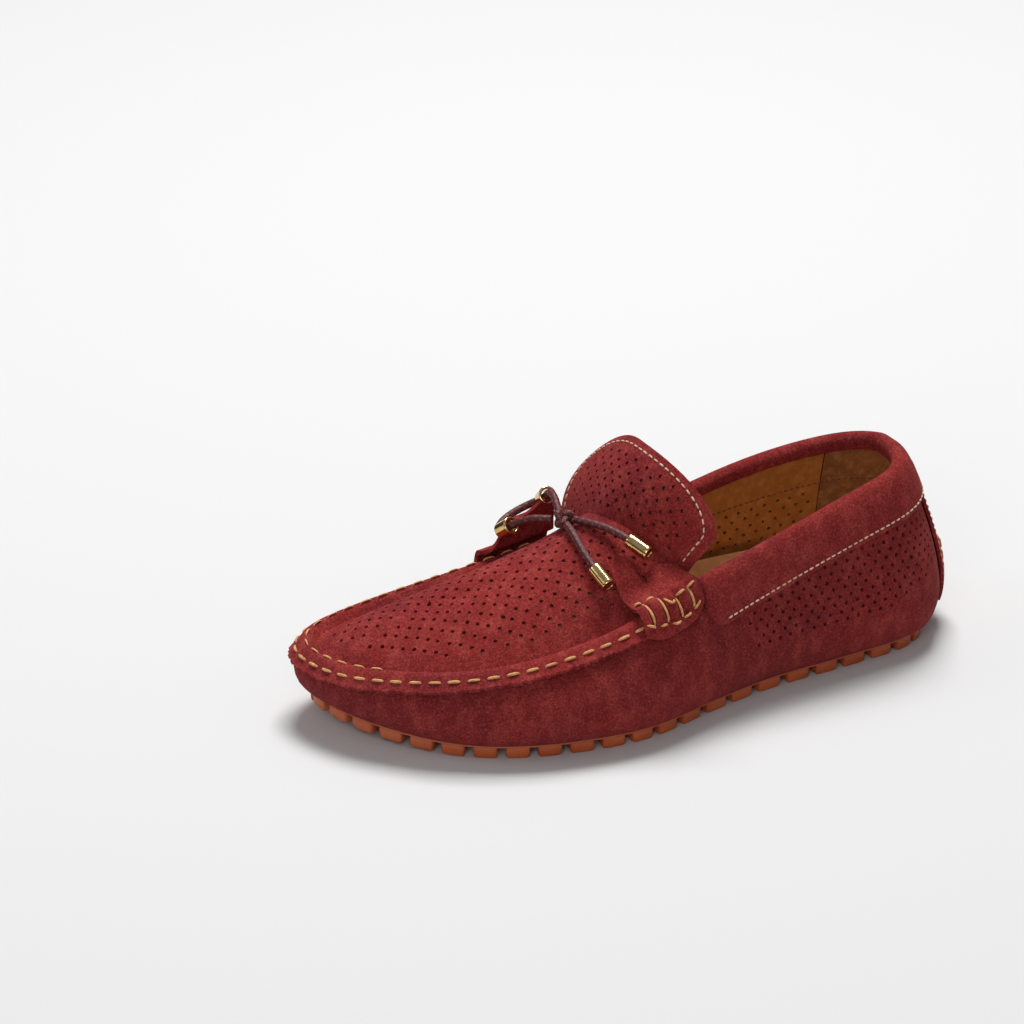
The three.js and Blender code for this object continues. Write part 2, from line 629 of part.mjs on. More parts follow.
// The lace's route behind the tab and out of both eyelet tubes to the knot.
const laceLoop = [
  [27.0, -19.6, 73.0], [25.8, -24, 74.6], [24.6, -29, 76.2], [23.6, -34, 75.6], [22.9, -37.8, 73.0],
  [22.2, -42, 69.8], [23.2, -45.6, 67.2], [26.4, -48.2, 64.8], [31, -49.2, 62.8], [36.4, -48.2, 61.2],
  [41, -45.2, 60.2], [43.6, -41.2, 60.2], [43.4, -37.4, 61.8], [42, -33.6, 64.8], [39.6, -29.4, 68],
  [36.6, -25, 70.4], [33.6, -21, 71.4], [31.2, -18.4, 71.8],
];
addPart('lace_loop', 'lace', cord(laceLoop, laceDiameter, 32));
const laceEnds = {
  upper: [
    [25.6, -9.6, 74], [23.8, -3.6, 75], [21.4, 2.6, 75.6],
    [18.8, 8.6, 75.4], [16.2, 14.6, 74.4], [13.8, 19.6, 72.6],
  ],
  lower: [
    [29.4, -9.4, 72.6], [30.2, -4, 72.4], [31, 2, 71.2],
    [31.6, 8.4, 69], [31.6, 15, 66.4], [30.8, 20.6, 63.8],
  ],
};
for (const [name, route] of Object.entries(laceEnds)) {
  addPart(`lace_end_${name}`, 'lace', cord(route, laceDiameter, 12));
  const [before, end] = route.slice(-2).map(point);
  const direction = end.clone().sub(before).normalize();
  const grip = 3;
  const [out, bore] = [agletDiameter / 2, agletDiameter / 2 - agletWall];
  const foot = end.clone().addScaledVector(direction, -grip);
  const floor = grip + gap;
  const profile = [[0, floor], [bore, floor], [bore, 0], [out, 0], [out, agletLength], [0, agletLength]];
  addPart(`aglet_${name}`, 'gold', laid(turned(profile, 16), foot, direction));
}

// ---- sewing threads -----------------------------------------------------------------------
const threadOf = (points, steps) => cord(points.map((p) => p.toArray()), threadDiameter, steps, 6);
const seamThreadOut = 1.9 + gap + threadDiameter / 2;
const seamFront = between((lateralRear + 4.2) / sections, (medialRear - 4.2) / sections, 40);
addPart('apron_thread', 'thread', threadOf(seamFront.map((s) => seam(s, 0.2, seamThreadOut)), 36));

const collarThreadDown = collarDepth - 2;
const collarThreadShares = between(collarMedial / sections + 0.012, lateralRear / sections - 0.012, 40);
addPart('collar_thread', 'thread', threadOf(collarThreadShares.map((s) => (
  wall(s, topHeight(s) - collarThreadDown, 3.0 + gap + threadDiameter / 2))), 36));

// The origin is under the middle of the whole shoe.
const box = new THREE.Box3().setFromObject(shoe, true);
const middle = box.getCenter(new THREE.Vector3());
shoe.position.set(-middle.x, -middle.y, -box.min.z);

export default shoe;
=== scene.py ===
# A left driving moccasin in perforated burgundy suede, with a lace tie and a nubbed gum-rubber sole.
import bpy, math
import numpy as np
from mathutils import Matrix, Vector, geometry

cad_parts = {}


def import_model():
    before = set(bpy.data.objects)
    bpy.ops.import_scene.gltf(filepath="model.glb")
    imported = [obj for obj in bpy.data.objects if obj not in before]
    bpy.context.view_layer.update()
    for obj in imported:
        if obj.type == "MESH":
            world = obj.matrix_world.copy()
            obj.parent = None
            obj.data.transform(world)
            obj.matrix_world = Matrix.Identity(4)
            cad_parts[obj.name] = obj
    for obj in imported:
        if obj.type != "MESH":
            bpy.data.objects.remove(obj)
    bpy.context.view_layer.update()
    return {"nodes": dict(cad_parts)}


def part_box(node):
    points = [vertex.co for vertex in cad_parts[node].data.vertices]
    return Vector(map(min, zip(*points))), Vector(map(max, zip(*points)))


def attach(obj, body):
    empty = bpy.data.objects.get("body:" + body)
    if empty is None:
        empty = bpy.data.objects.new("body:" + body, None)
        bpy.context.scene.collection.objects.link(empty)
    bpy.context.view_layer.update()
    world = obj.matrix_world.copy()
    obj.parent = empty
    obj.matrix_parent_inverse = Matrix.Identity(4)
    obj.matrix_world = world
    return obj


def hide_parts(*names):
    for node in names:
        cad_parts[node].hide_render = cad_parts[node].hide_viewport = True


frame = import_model()
dice = np.random.default_rng(7)
mm = 0.001

# The last, in millimetres: the form that the solids are drawn on. Outline and topline run round
# from the heel along the outer side to the toe and back.
last = {
    "length": 280, "width": 113, "heelHeight": 81, "instepHeight": 76, "tongueHeight": 104,
    "footInset": 6, "wideHeight": 20, "underside": 6.5, "wallBend": 1.5, "seamDrop": 4.2,
    "toeSpring": 7.5, "toeSpringLength": 55, "heelSpring": 1.5, "heelSpringLength": 25,
    "sections": 60, "apronRear": 14, "medialRear": 44, "levelFrom": 20, "toe": 30,
    "suede": 1.8, "lining": 1.2,
}
outlineMarks = np.array([
    [-1.0, -0.044], [-0.957, 0.345], [-0.829, 0.611], [-0.593, 0.69], [-0.321, 0.735],
    [-0.107, 0.841], [0.143, 1.0], [0.357, 0.973], [0.571, 0.823], [0.764, 0.522], [0.929, 0.044],
    [1.0, -0.381], [0.993, -0.699], [0.893, -0.912], [0.693, -1.0], [0.429, -0.973],
    [0.143, -0.858], [-0.143, -0.735], [-0.464, -0.699], [-0.786, -0.646], [-0.957, -0.398],
]) * [last["length"] / 2, last["width"] / 2]
topInsets = np.array([19, 18, 14.6, 12.1, 16.2, 19.2, 15.4, 9.5, 6.1, 6, 8.2, 7.6, 6.4, 5.1, 6.2, 14.5])
topShares = np.array([1.0, 0.984, 0.901, 0.786, 0.679, 0.562, 0.486, 0.438, 0.404, 0.42, 0.477, 0.552,
    0.667, 0.778, 0.893, 0.979])
knotCenter = np.array([28, -14.5, 73])
stations = last["sections"]
shift = (np.array(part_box("lace_knot")[0]) + np.array(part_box("lace_knot")[1])) / 2 / mm - knotCenter


# the frame's metres for points in the last's millimetres
def world(points):
    return (np.asarray(points, float) + shift) * mm


# a smooth value between marks spread evenly round the shoe
def aroundLoop(values, share):
    at = (np.asarray(share, float) % 1) * len(values)
    i = np.floor(at).astype(int)
    t = at - i
    a, b, c, d = (values[(i + k) % len(values)] for k in (-1, 0, 1, 2))
    if values.ndim > 1:
        t = t[..., None]
    return b + 0.5 * t * (c - a + t * (2 * a - 5 * b + 4 * c - d + t * (3 * (b - c) + d - a)))


# the way run along a line so far, at each of its points
def runOf(points):
    return np.concatenate([[0], np.cumsum(np.linalg.norm(np.diff(points, axis=0), axis=1))])


def evenly(points, count):
    run = runOf(points)
    at = np.linspace(0, run[-1], count)
    return np.stack([np.interp(at, run, values) for values in points.T], -1)


edgeTable = aroundLoop(outlineMarks, np.linspace(0, 1, 4001) % 1)
edgeRun = runOf(edgeTable)
girth = edgeRun[-1]
edgeAlong = np.gradient(edgeTable, axis=0)
edgeAlong[0] = edgeAlong[-1] = edgeTable[1] - edgeTable[-2]


def outlineAt(share):
    run = (np.asarray(share, float) % 1) * girth
    point, along = (np.stack([np.interp(run, edgeRun, table[:, k]) for k in (0, 1)], -1)
        for table in (edgeTable, edgeAlong))
    along /= np.linalg.norm(along, axis=-1, keepdims=True)
    return point, pairs(along[..., 1], -along[..., 0])


def pairs(*parts):
    return np.stack(np.broadcast_arrays(*parts), -1)


def lift(x):
    half = last["length"] / 2
    toe = np.maximum(0, (x - half + last["toeSpringLength"]) / last["toeSpringLength"])
    heel = np.maximum(0, (-x - half + last["heelSpringLength"]) / last["heelSpringLength"])
    return last["toeSpring"] * toe ** 2 + last["heelSpring"] * heel ** 2


def topHeight(share):
    return last["heelHeight"] * aroundLoop(topShares, share)


def seamHeight(share):
    return topHeight(share) - last["seamDrop"]


# the turned-in edge's rise, its height, and the height of the widest line
def levels(share):
    point, inward = outlineAt(share)
    rise = lift(point[..., 0] + inward[..., 0] * last["footInset"])
    return point, inward, rise, last["underside"] + rise, last["wideHeight"] + rise / 2


def wallProfile(share, height):
    point, inward, rise, low, wide = levels(share)
    drop = np.clip((wide - height) / (wide - low), 0, 1)
    rounding = np.sqrt(1 - drop ** 2)
    t = np.maximum(0, (height - wide) / (topHeight(share) - wide))
    lean = aroundLoop(topInsets, share)
    under = height <= wide
    inset = np.where(under, last["footInset"] * (1 - rounding), lean * t ** last["wallBend"])
    slopeX = np.where(under, -last["footInset"] * drop, last["wallBend"] * lean * np.sqrt(t))
    slopeZ = np.where(under, (wide - low) * rounding, topHeight(share) - wide)
    size = np.hypot(slopeX, slopeZ)
    return point, inward, inset, slopeX / size, slopeZ / size


def joined(point, inward, across, z):
    return np.concatenate([point + inward * across[..., None], z[..., None]], -1)


# a point on the side wall at a height, moved out from it
def wall(share, height, out=0.0):
    share, height, out = np.broadcast_arrays(np.asarray(share, float), height, out)
    point, inward, inset, sx, sz = wallProfile(share, height)
    return joined(point, inward, inset - sz * out, height + sx * out)


# a point by the apron's seam, moved up along the wall and out from it
def seam(share, up, out):
    share, up, out = np.broadcast_arrays(np.asarray(share, float), up, out)
    top = seamHeight(share)
    point, inward, inset, sx, sz = wallProfile(share, top)
    return joined(point, inward, inset + sx * up - sz * out, top + sz * up + sx * out)


# a plan point set at a height over the line that the toe and heel lift from
def raised(flat, height):
    return np.concatenate([flat, (height + lift(flat[..., 0]))[..., None]], -1)


ridgeFoot, rollEnd = (4.0, -5.6), (9.6, 1.5)  # up and out from the seam


def floorPoint(share, inset, toSpine, height):
    share, inset, toSpine, height = np.broadcast_arrays(np.asarray(share, float), inset, toSpine, height)
    point, inward = outlineAt(share)
    rim = point + inward * inset[..., None]
    pair = np.clip(np.minimum(share % 1, 1 - share % 1), 0.07, 0.44)
    spine = (outlineAt(pair)[0] + outlineAt(1 - pair)[0]) / 2
    return raised(rim + (spine - rim) * toSpine[..., None], height)


# A curve through the points, at even steps.
def smoothPath(points, count):
    p = np.asarray(points, float)
    p = np.vstack([2 * p[0] - p[1], p, 2 * p[-1] - p[-2]])
    dense = []
    for a, b, c, d in zip(p, p[1:], p[2:], p[3:]):
        s = [max(1e-6, np.linalg.norm(v) ** 0.5) for v in (b - a, c - b, d - c)]
        m1 = ((b - a) / s[0] - (c - a) / (s[0] + s[1]) + (c - b) / s[1]) * s[1]
        m2 = ((c - b) / s[1] - (d - b) / (s[1] + s[2]) + (d - c) / s[2]) * s[1]
        t = np.linspace(0, 1, 24, endpoint=False)[:, None]
        dense.append((2 * t**3 - 3 * t**2 + 1) * b + (t**3 - 2 * t**2 + t) * m1 + (3 * t**2 - 2 * t**3) * c
            + (t**3 - t**2) * m2)
    return evenly(np.vstack([*dense, p[-2:-1]]), count)


def turns(sides):
    return np.arange(sides) * 2 * math.pi / sides


def unit(v):
    return v / np.maximum(1e-9, np.linalg.norm(v, axis=-1, keepdims=True))


def step(t, a, b):
    t = np.clip((t - a) / (b - a), 0, 1)
    return t * t * (3 - 2 * t)


# Camera and lights.
camera = {"turn": 62, "height": 25, "distance": 2000, "lens": 170.16, "target": [5, -16, 30],
    "right": -40.5, "up": 36.4, "sensor": 36, "farthest": 20}
turn, tilt = math.radians(camera["turn"]), math.radians(camera["height"])
back = np.array([math.cos(turn) * math.cos(tilt), math.sin(turn) * math.cos(tilt), math.sin(tilt)])
right = np.array([-math.sin(turn), math.cos(turn), 0])
eye = (np.array(camera["target"]) + camera["distance"] * back + camera["right"] * right + camera["up"]
    * np.cross(back, right))
bpy.ops.object.camera_add(location=world(eye))
lens = bpy.context.object
lens.rotation_euler = Vector(back).to_track_quat("Z", "Y").to_euler()
lens.data.lens, lens.data.sensor_width = camera["lens"], camera["sensor"]
lens.data.clip_end = camera["farthest"]
bpy.context.scene.camera = lens

studio = {"worldPower": 0.27, "floorTone": (0.655, 0.655, 0.655), "floorSize": 14.0,
    "sky": ((0.0, (0.16, 0.16, 0.17)), (0.22, (0.30, 0.30, 0.32)), (0.55, (1.0, 1.0, 1.0)))}
areaLights = [  # place, aim, size, power
    ((-0.42, -0.72, 2.1), (0.0, 0.0, 0.0), 0.9, 56),
    ((0.9, 1.2, 0.9), (0.0, 0.0, 0.03), 0.8, 6),
    ((1.3, -0.5, 0.8), (0.0, 0.0, 0.05), 0.5, 2),
]
for place, aim, size, power in areaLights:
    bpy.ops.object.light_add(type="AREA", location=place)
    lamp = bpy.context.object
    lamp.data.energy, lamp.data.size = power, size
    lamp.rotation_euler = (Vector(place) - Vector(aim)).to_track_quat("Z", "Y").to_euler()
skyWorld = bpy.data.worlds.new("studio")
skyWorld.use_nodes = True
sky = skyWorld.node_tree
background = sky.nodes["Background"]
heading, split, ramp = (sky.nodes.new(f"ShaderNode{kind}") for kind in ("TexCoord", "SeparateXYZ", "ValToRGB"))
sky.links.new(heading.outputs["Generated"], split.inputs[0])
sky.links.new(split.outputs["Z"], ramp.inputs[0])
stops = ramp.color_ramp.elements
stops.new(0.22)
for stop, (at, tone) in zip(stops, studio["sky"]):
    stop.position, stop.color = at, (*tone, 1)
sky.links.new(ramp.outputs[0], background.inputs[0])
background.inputs[1].default_value = studio["worldPower"]
bpy.context.scene.world = skyWorld
bpy.context.scene.view_settings.view_transform = "Standard"
print("camera and lights placed")


# Making pieces.
def active(obj):
    bpy.ops.object.select_all(action="DESELECT")
    obj.select_set(True)
    bpy.context.view_layer.objects.active = obj


def applied(obj, kind, **settings):
    active(obj)
    modifier = obj.modifiers.new(kind.lower(), kind)
    for key, value in settings.items():
        setattr(modifier, key, value)
    bpy.ops.object.modifier_apply(modifier=modifier.name)


def edited(obj, merge=0.00002, fix=True, loose=False):
    active(obj)
    bpy.ops.object.mode_set(mode="EDIT")
    bpy.ops.mesh.select_all(action="SELECT")
    if merge:
        bpy.ops.mesh.remove_doubles(threshold=merge)
        bpy.ops.mesh.dissolve_degenerate(threshold=0.000005)
    if fix:
        bpy.ops.mesh.select_all(action="SELECT")
        bpy.ops.mesh.normals_make_consistent(inside=False)
    if loose:
        bpy.ops.mesh.delete_loose()
    bpy.ops.object.mode_set(mode="OBJECT")


def finished(obj, look, node, body="root", angle=45):
    active(obj)
    bpy.ops.object.shade_smooth_by_angle(angle=math.radians(angle))
    obj.data.materials.clear()
    obj.data.materials.append(look)
    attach(obj, body)
    for name in node:
        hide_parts(name)
    return obj


def meshPiece(name, verts, faces):
    mesh = bpy.data.meshes.new(name)
    mesh.from_pydata([tuple(v) for v in world(verts)], [], [tuple(int(i) for i in f) for f in faces])
    obj = bpy.data.objects.new(name, mesh)
    bpy.context.collection.objects.link(obj)
    return obj


# Flips the faces that look the wrong way.
def turnedTo(obj, facing):
    mesh = obj.data
    normals = np.array([p.normal[:] for p in mesh.polygons])
    centers = np.array([p.center[:] for p in mesh.polygons]) / mm - shift
    areas = np.array([p.area for p in mesh.polygons])
    if (np.einsum("ij,ij->i", normals, facing(centers)) * areas).sum() < 0:
        mesh.flip_normals()


def thickened(obj, thickness, facing):
    turnedTo(obj, facing)
    applied(obj, "SOLIDIFY", thickness=thickness * mm, offset=-1.0, use_even_offset=False)


def inside(border, points):
    x, y = points[:, 0], points[:, 1]
    odd = np.zeros(len(points), bool)
    for (x1, y1), (x2, y2) in zip(border, np.roll(border, -1, axis=0)):
        if y1 != y2:
            cross = (y1 > y) != (y2 > y)
            odd ^= cross & (x < (x2 - x1) * (y - y1) / (y2 - y1) + x1)
    return odd


def gridOver(border, stepU, stepV):
    (u0, v0), (u1, v1) = border.min(0), border.max(0)
    us, vs = np.arange(u0 + stepU / 2, u1, stepU), np.arange(v0 + stepV / 2, v1, stepV)
    points = np.stack(np.meshgrid(us, vs), -1)
    points[1::2, :, 0] += stepU / 2
    return points.reshape(-1, 2)


def farFrom(points, others, distance):
    keep = np.ones(len(points), bool)
    for chunk in np.array_split(np.arange(len(points)), max(1, len(points) // 400)):
        near = ((points[chunk, None, :] - others[None]) ** 2).sum(-1).min(1)
        keep[chunk] = near > distance ** 2
    return keep


# A flat pattern with punched holes, laid on a surface. place takes u and v and gives points.
def cutPiece(name, border, place, grid, holes, radius, thickness, facing):
    x, y = border.T
    if (x * np.roll(y, -1) - y * np.roll(x, -1)).sum() < 0:
        border = border[::-1]  # the outline runs anticlockwise
    sides = 10
    angles = turns(sides)
    rings = []
    nudge = 0.05
    if len(holes):
        u, v = holes[:, 0], holes[:, 1]
        du = (place(u + nudge, v) - place(u - nudge, v)) / (2 * nudge)
        dv = (place(u, v + nudge) - place(u, v - nudge)) / (2 * nudge)
        size = np.linalg.norm(du, axis=1)
        e1 = du / size[:, None]
        a = (dv * e1).sum(1)
        b = np.linalg.norm(dv - a[:, None] * e1, axis=1)
        for i in range(len(holes)):
            r = radius * (1 + 0.05 * dice.standard_normal())
            y = r * np.sin(angles) / b[i]
            x = (r * np.cos(angles) - a[i] * y) / size[i]
            rings.append(holes[i] + np.stack([x, y], -1))
    inner = gridOver(border, *grid)
    inner = inner[inside(border, inner)]
    inner = inner[farFrom(inner, border, 0.55 * min(grid))]
    if len(holes):
        inner = inner[farFrom(inner, holes, radius * 1.75)]
    points = np.vstack([border, *rings, inner])
    faces = [list(range(len(border)))]
    for i in range(len(rings)):
        start = len(border) + i * sides
        faces.append(list(range(start, start + sides)))
    cut = geometry.delaunay_2d_cdt([Vector(p) for p in points.tolist()], [], faces, 1, 1e-5, True)
    verts, tris, owners = np.array([v[:] for v in cut[0]]), cut[2], cut[5]
    tris = [t for t, own in zip(tris, owners) if list(own) == [0]]
    obj = meshPiece(name, place(verts[:, 0], verts[:, 1]), tris)
    edited(obj, loose=True)
    thickened(obj, thickness, facing)
    return obj


# The border between two lines, closed by the same run at either end.
def framed(bottom, top, side):
    return np.vstack([bottom, pairs(bottom[-1, 0], side), top[::-1], pairs(bottom[0, 0], side[::-1])])


# A grid primitive whose points are laid on a surface.
def gridPiece(name, points, merge=0.00002):
    rows, columns = points.shape[:2]
    bpy.ops.mesh.primitive_grid_add(x_subdivisions=columns - 1, y_subdivisions=rows - 1, size=1)
    obj = bpy.context.object
    obj.name = name
    obj.data.vertices.foreach_set("co", world(points.reshape(-1, 3)).ravel())
    obj.data.update()
    edited(obj, merge, fix=False)
    return obj


# Staggered rows of holes over a pattern, each a little off its place.
def lattice(border, pitch, row, keep=lambda points: slice(None)):
    (u0, v0), (u1, v1) = border.min(0), border.max(0)
    points = []
    for j, v in enumerate(np.arange(v0, v1, row)):
        for u in np.arange(u0 + (pitch / 2 if j % 2 else 0), u1, pitch):
            points.append((u, v))
    points = np.array(points) + dice.normal(0, 0.12, (len(points), 2))
    return points[keep(points)]


# Threads and cords.
def tubeVerts(path, normal, widths, heights, sides):
    along = unit(np.gradient(path, axis=0))
    side = unit(np.cross(along, normal))
    up = np.cross(side, along)
    angles = turns(sides)
    ring = (side[:, None] * (np.cos(angles)[None, :, None] * widths[:, None, None]) + up[:, None]
        * (np.sin(angles)[None, :, None] * heights[:, None, None]))
    return path[:, None] + ring


def tubeFaces(rings, sides, offset, caps=True):
    faces = []
    for r in range(rings - 1):
        for k in range(sides):
            n = (k + 1) % sides
            faces.append([offset + r * sides + k, offset + r * sides + n, offset + (r + 1) * sides + n,
                offset + (r + 1) * sides + k])
    if caps:
        faces.append([offset + k for k in range(sides)][::-1])
        faces.append([offset + (rings - 1) * sides + k for k in range(sides)])
    return faces


# Stitches: each is (start, middle, end, normal, radius); its ends dive into what it sews.
def stitchPiece(name, stitches, look, node, body="root"):
    rings, sides = 9, 8
    verts, faces = [], []
    s = np.linspace(-1, 1, rings)
    for start, middle, end, normal, radius in stitches:
        t = (s + 1) / 2
        path = ((1 - t) ** 2)[:, None] * start + (2 * t * (1 - t))[:, None] * middle + (t ** 2)[:, None] * end
        path = path - unit(normal)[None] * (np.abs(s) ** 5)[:, None] * radius * 1.3
        width = radius * (1 - 0.55 * np.abs(s) ** 4) * (1 + 0.06 * dice.standard_normal())
        verts.append(tubeVerts(path, np.broadcast_to(normal, path.shape), width, width * 0.85,
            sides).reshape(-1, 3))
        faces += tubeFaces(rings, sides, (len(verts) - 1) * rings * sides)
    obj = meshPiece(name, np.vstack(verts), faces)
    edited(obj, 0)
    return finished(obj, look, node, body, 60)


# Running stitches along a line of points; the normals give the way out.
def runStitches(points, normals, pitch, length, radius, rise, jitter=0.0):
    run = runOf(points)

    def at(values, place):
        return np.array([np.interp(place, run, axis) for axis in values.T])

    count = int(run[-1] / pitch)
    stitches = []
    for i in range(count):
        start = (i + 0.5) * run[-1] / count - length / 2 + jitter * dice.standard_normal()
        n = unit(at(normals, start + length / 2))
        lifted = [at(points, start + f * length) + n * radius * rise for f in (0, 0.5, 1)]
        lifted[1] = lifted[1] + n * radius * 0.5
        stitches.append((*lifted, n, radius))
    return stitches


# Stitches on a line whose way out leads to a second line.
def sewn(on, above, *settings):
    return runStitches(on, unit(above - on), *settings)


# A braided cord: strands wound both ways, each raised where it passes over.
def braidPiece(name, path, diameter, look, node, body, perTurn=3, turnLength=7.0):
    sides = 24
    along = unit(np.gradient(path, axis=0))
    side = unit(np.cross(along[0], [0.3, 0.2, 1.0]))
    frames = []
    for a in along:
        side = unit(side - a * np.dot(side, a))
        frames.append(side)
    side = np.array(frames)
    up = np.cross(along, side)
    run = runOf(path)
    angle = turns(sides)
    wind = 2 * math.pi * run[:, None] / turnLength
    ways = [perTurn * (angle[None] + wind), perTurn * (angle[None] - wind)]
    over = np.sin(ways[0]) * np.sin(ways[1]) > 0
    crown = np.where(over, np.abs(np.cos(ways[0])), np.abs(np.cos(ways[1])))
    radius = diameter / 2 * (0.80 + 0.20 * crown ** 0.8)
    # pale ticks on the crowns of every third strand, a painted highlight
    strand = np.floor(np.where(over, ways[0], ways[1] + 1.7) / math.pi)
    pale = (over & (strand % 3 == 0)) * crown ** 2
    radius[0] = radius[-1] = diameter * 0.3
    ring = (side[:, None] * np.cos(angle)[None, :, None] + up[:, None] * np.sin(angle)[None, :, None])
    verts = path[:, None] + ring * radius[..., None]
    obj = meshPiece(name, verts.reshape(-1, 3), tubeFaces(len(path), sides, 0))
    # the strand heights are stored for the shader, which paints shade into the valleys between strands
    for key, values in (("weave", crown), ("pale", pale)):
        obj.data.attributes.new(key, "FLOAT", "POINT").data.foreach_set("value", values.astype(float).ravel())
    edited(obj, 0)
    return finished(obj, look, node, body, 60)


# Materials.
def fromSrgb(r, g, b):
    return tuple(c / 12.92 if c <= 0.04045 else ((c + 0.055) / 1.055) ** 2.4
        for c in (r / 255, g / 255, b / 255))


# One shader output, so that shader maths reads as plain maths.
class Wire:
    def __init__(self, shade, socket):
        self.shade, self.socket = shade, socket

    def math(self, operation, other, flip=False):
        pair = (other, self) if flip else (self, other)
        return self.shade.node("ShaderNodeMath", {"operation": operation}, {0: pair[0], 1: pair[1]})

    def __add__(self, other): return self.math("ADD", other)
    def __radd__(self, other): return self.math("ADD", other, True)
    def __sub__(self, other): return self.math("SUBTRACT", other)
    def __rsub__(self, other): return self.math("SUBTRACT", other, True)
    def __mul__(self, other): return self.math("MULTIPLY", other)
    def __rmul__(self, other): return self.math("MULTIPLY", other, True)
    def __truediv__(self, other): return self.math("DIVIDE", other)
    def __pow__(self, other): return self.math("POWER", other)


class Shade:
    def __init__(self, name):
        self.material = bpy.data.materials.new(name)
        self.material.use_nodes = True
        self.tree = self.material.node_tree
        self.bsdf = self.tree.nodes["Principled BSDF"]
        self.place = self.node("ShaderNodeTexCoord", {}, {}, "Object")

    def node(self, kind, settings, inputs, output=0):
        made = self.tree.nodes.new(kind)
        for key, value in settings.items():
            if key == "stops":
                ramp = made.color_ramp
                while len(ramp.elements) < len(value):
                    ramp.elements.new(0.5)
                for element, (at, color) in zip(ramp.elements, value):
                    element.position, element.color = at, (*color, 1) if len(color) == 3 else color
            else:
                setattr(made, key, value)
        for key, value in inputs.items():
            self.feed(made.inputs[key], value)
        return Wire(self, made.outputs[output])

    def feed(self, socket, value):
        if isinstance(value, Wire):
            self.tree.links.new(value.socket, socket)
        elif isinstance(value, (tuple, list)) and len(value) == 3 and socket.type == "RGBA":
            socket.default_value = (*value, 1)
        else:
            socket.default_value = value

    def noise(self, scale, detail=2.0, rough=0.5, stretch=None, w=0.0):
        vector = self.place
        if stretch:
            vector = self.node("ShaderNodeMapping", {}, {"Vector": self.place, "Scale": stretch})
        return self.node("ShaderNodeTexNoise", {"noise_dimensions": "4D"},
            {"Vector": vector, "Scale": scale, "Detail": detail, "Roughness": rough, "W": w})

    def span(self, value, low, paintedLightHeight, a=0.0, b=1.0):
        return self.node("ShaderNodeMapRange", {"interpolation_type": "SMOOTHSTEP"},
            {0: value, 1: low, 2: paintedLightHeight, 3: a, 4: b})

    def mix(self, factor, a, b, blend="MIX"):
        made = self.tree.nodes.new("ShaderNodeMix")
        made.data_type, made.blend_type = "RGBA", blend
        for index, value in ((0, factor), (6, a), (7, b)):
            self.feed(made.inputs[index], value)
        return Wire(self, made.outputs[2])

    def bump(self, height, distance, strength=1.0, under=None):
        inputs = {"Height": height, "Distance": distance, "Strength": strength}
        if under:
            inputs["Normal"] = under
        return self.node("ShaderNodeBump", {}, inputs)

    def out(self, **sockets):
        for key, value in sockets.items():
            self.feed(self.bsdf.inputs[key.replace("_", " ")], value)
        return self.material


def suedeLook(name, tone=1.0):
    s = Shade(name)
    deep, main, light, cold = (tuple(c * tone for c in fromSrgb(*tint))
        for tint in ((68, 15, 17), (134, 39, 38), (198, 90, 80), (112, 33, 40)))
    patches = s.noise(26, 3, 0.55)
    strokes = s.noise(150, 4, 0.65, (1.0, 1.0, 0.5), 3.0)
    nap = s.noise(1100, 3, 0.75, None, 5.0)
    fibre = s.noise(3000, 2, 0.6, (1.0, 1.0, 0.55), 8.0)
    color = s.mix(s.span(patches, 0.38, 0.72, 0.0, 0.75), main, cold)
    color = s.mix(s.span(strokes, 0.42, 0.72, 0.0, 0.32), color, light)
    color = s.mix(s.span(nap, 0.30, 0.56, 0.8, 0.0), color, deep)
    color = s.mix(s.span(nap, 0.53, 0.72, 0.0, 0.55), color, light)
    color = s.mix(s.span(fibre, 0.56, 0.76, 0.0, 0.5), color, light)
    bump = s.bump(nap * 0.6 + fibre * 0.4, 0.0007, 0.9)
    bump = s.bump(strokes, 0.0009, 0.3, bump)
    return s.out(Base_Color=color, Roughness=s.span(nap, 0.3, 0.7, 0.84, 0.98), Normal=bump,
        Sheen_Weight=0.12, Sheen_Roughness=0.45, Sheen_Tint=fromSrgb(210, 110, 110),
        Specular_IOR_Level=0.12)


def leatherLook(name, dark, main, light, grain=1500.0, rough=0.55, relief=0.00012):
    s = Shade(name)
    patches = s.noise(14, 4, 0.6)
    fine = s.noise(260, 4, 0.65, None, 2.0)
    pores = s.node("ShaderNodeTexVoronoi", {"feature": "F1"}, {"Vector": s.place, "Scale": grain})
    color = s.mix(s.span(patches, 0.3, 0.7), fromSrgb(*dark), fromSrgb(*main))
    color = s.mix(s.span(fine, 0.4, 0.75, 0.0, 0.6), color, fromSrgb(*light))
    bump = s.bump(pores + fine * 0.6, relief, 0.6)
    return s.out(Base_Color=color, Roughness=s.span(fine, 0.3, 0.7, rough - 0.06, rough + 0.12),
        Normal=bump, Specular_IOR_Level=0.35)


def rubberLook(name):
    s = Shade(name)
    cloud = s.noise(40, 4, 0.6)
    speck = s.noise(1400, 2, 0.6, None, 4.0)
    paintedLightHeight = s.node("ShaderNodeSeparateXYZ", {}, {0: s.place}, 2)
    color = s.mix(s.span(cloud, 0.3, 0.7), fromSrgb(176, 76, 34), fromSrgb(196, 94, 46))
    # painted light: the rubber turns paler higher up, so the upper nub faces and the heel tab are lighter and
    # the nub bottoms by the floor stay darker as painted shade
    color = s.mix(s.span(paintedLightHeight, 0.002, 0.0065, 0.0, 0.35), color, fromSrgb(205, 120, 92))
    color = s.mix(s.span(speck, 0.6, 0.8, 0.0, 0.3), color, fromSrgb(225, 140, 95))
    return s.out(Base_Color=color, Roughness=s.span(speck, 0.3, 0.7, 0.42, 0.58),
        Normal=s.bump(speck, 0.00012, 0.4), Specular_IOR_Level=0.4)


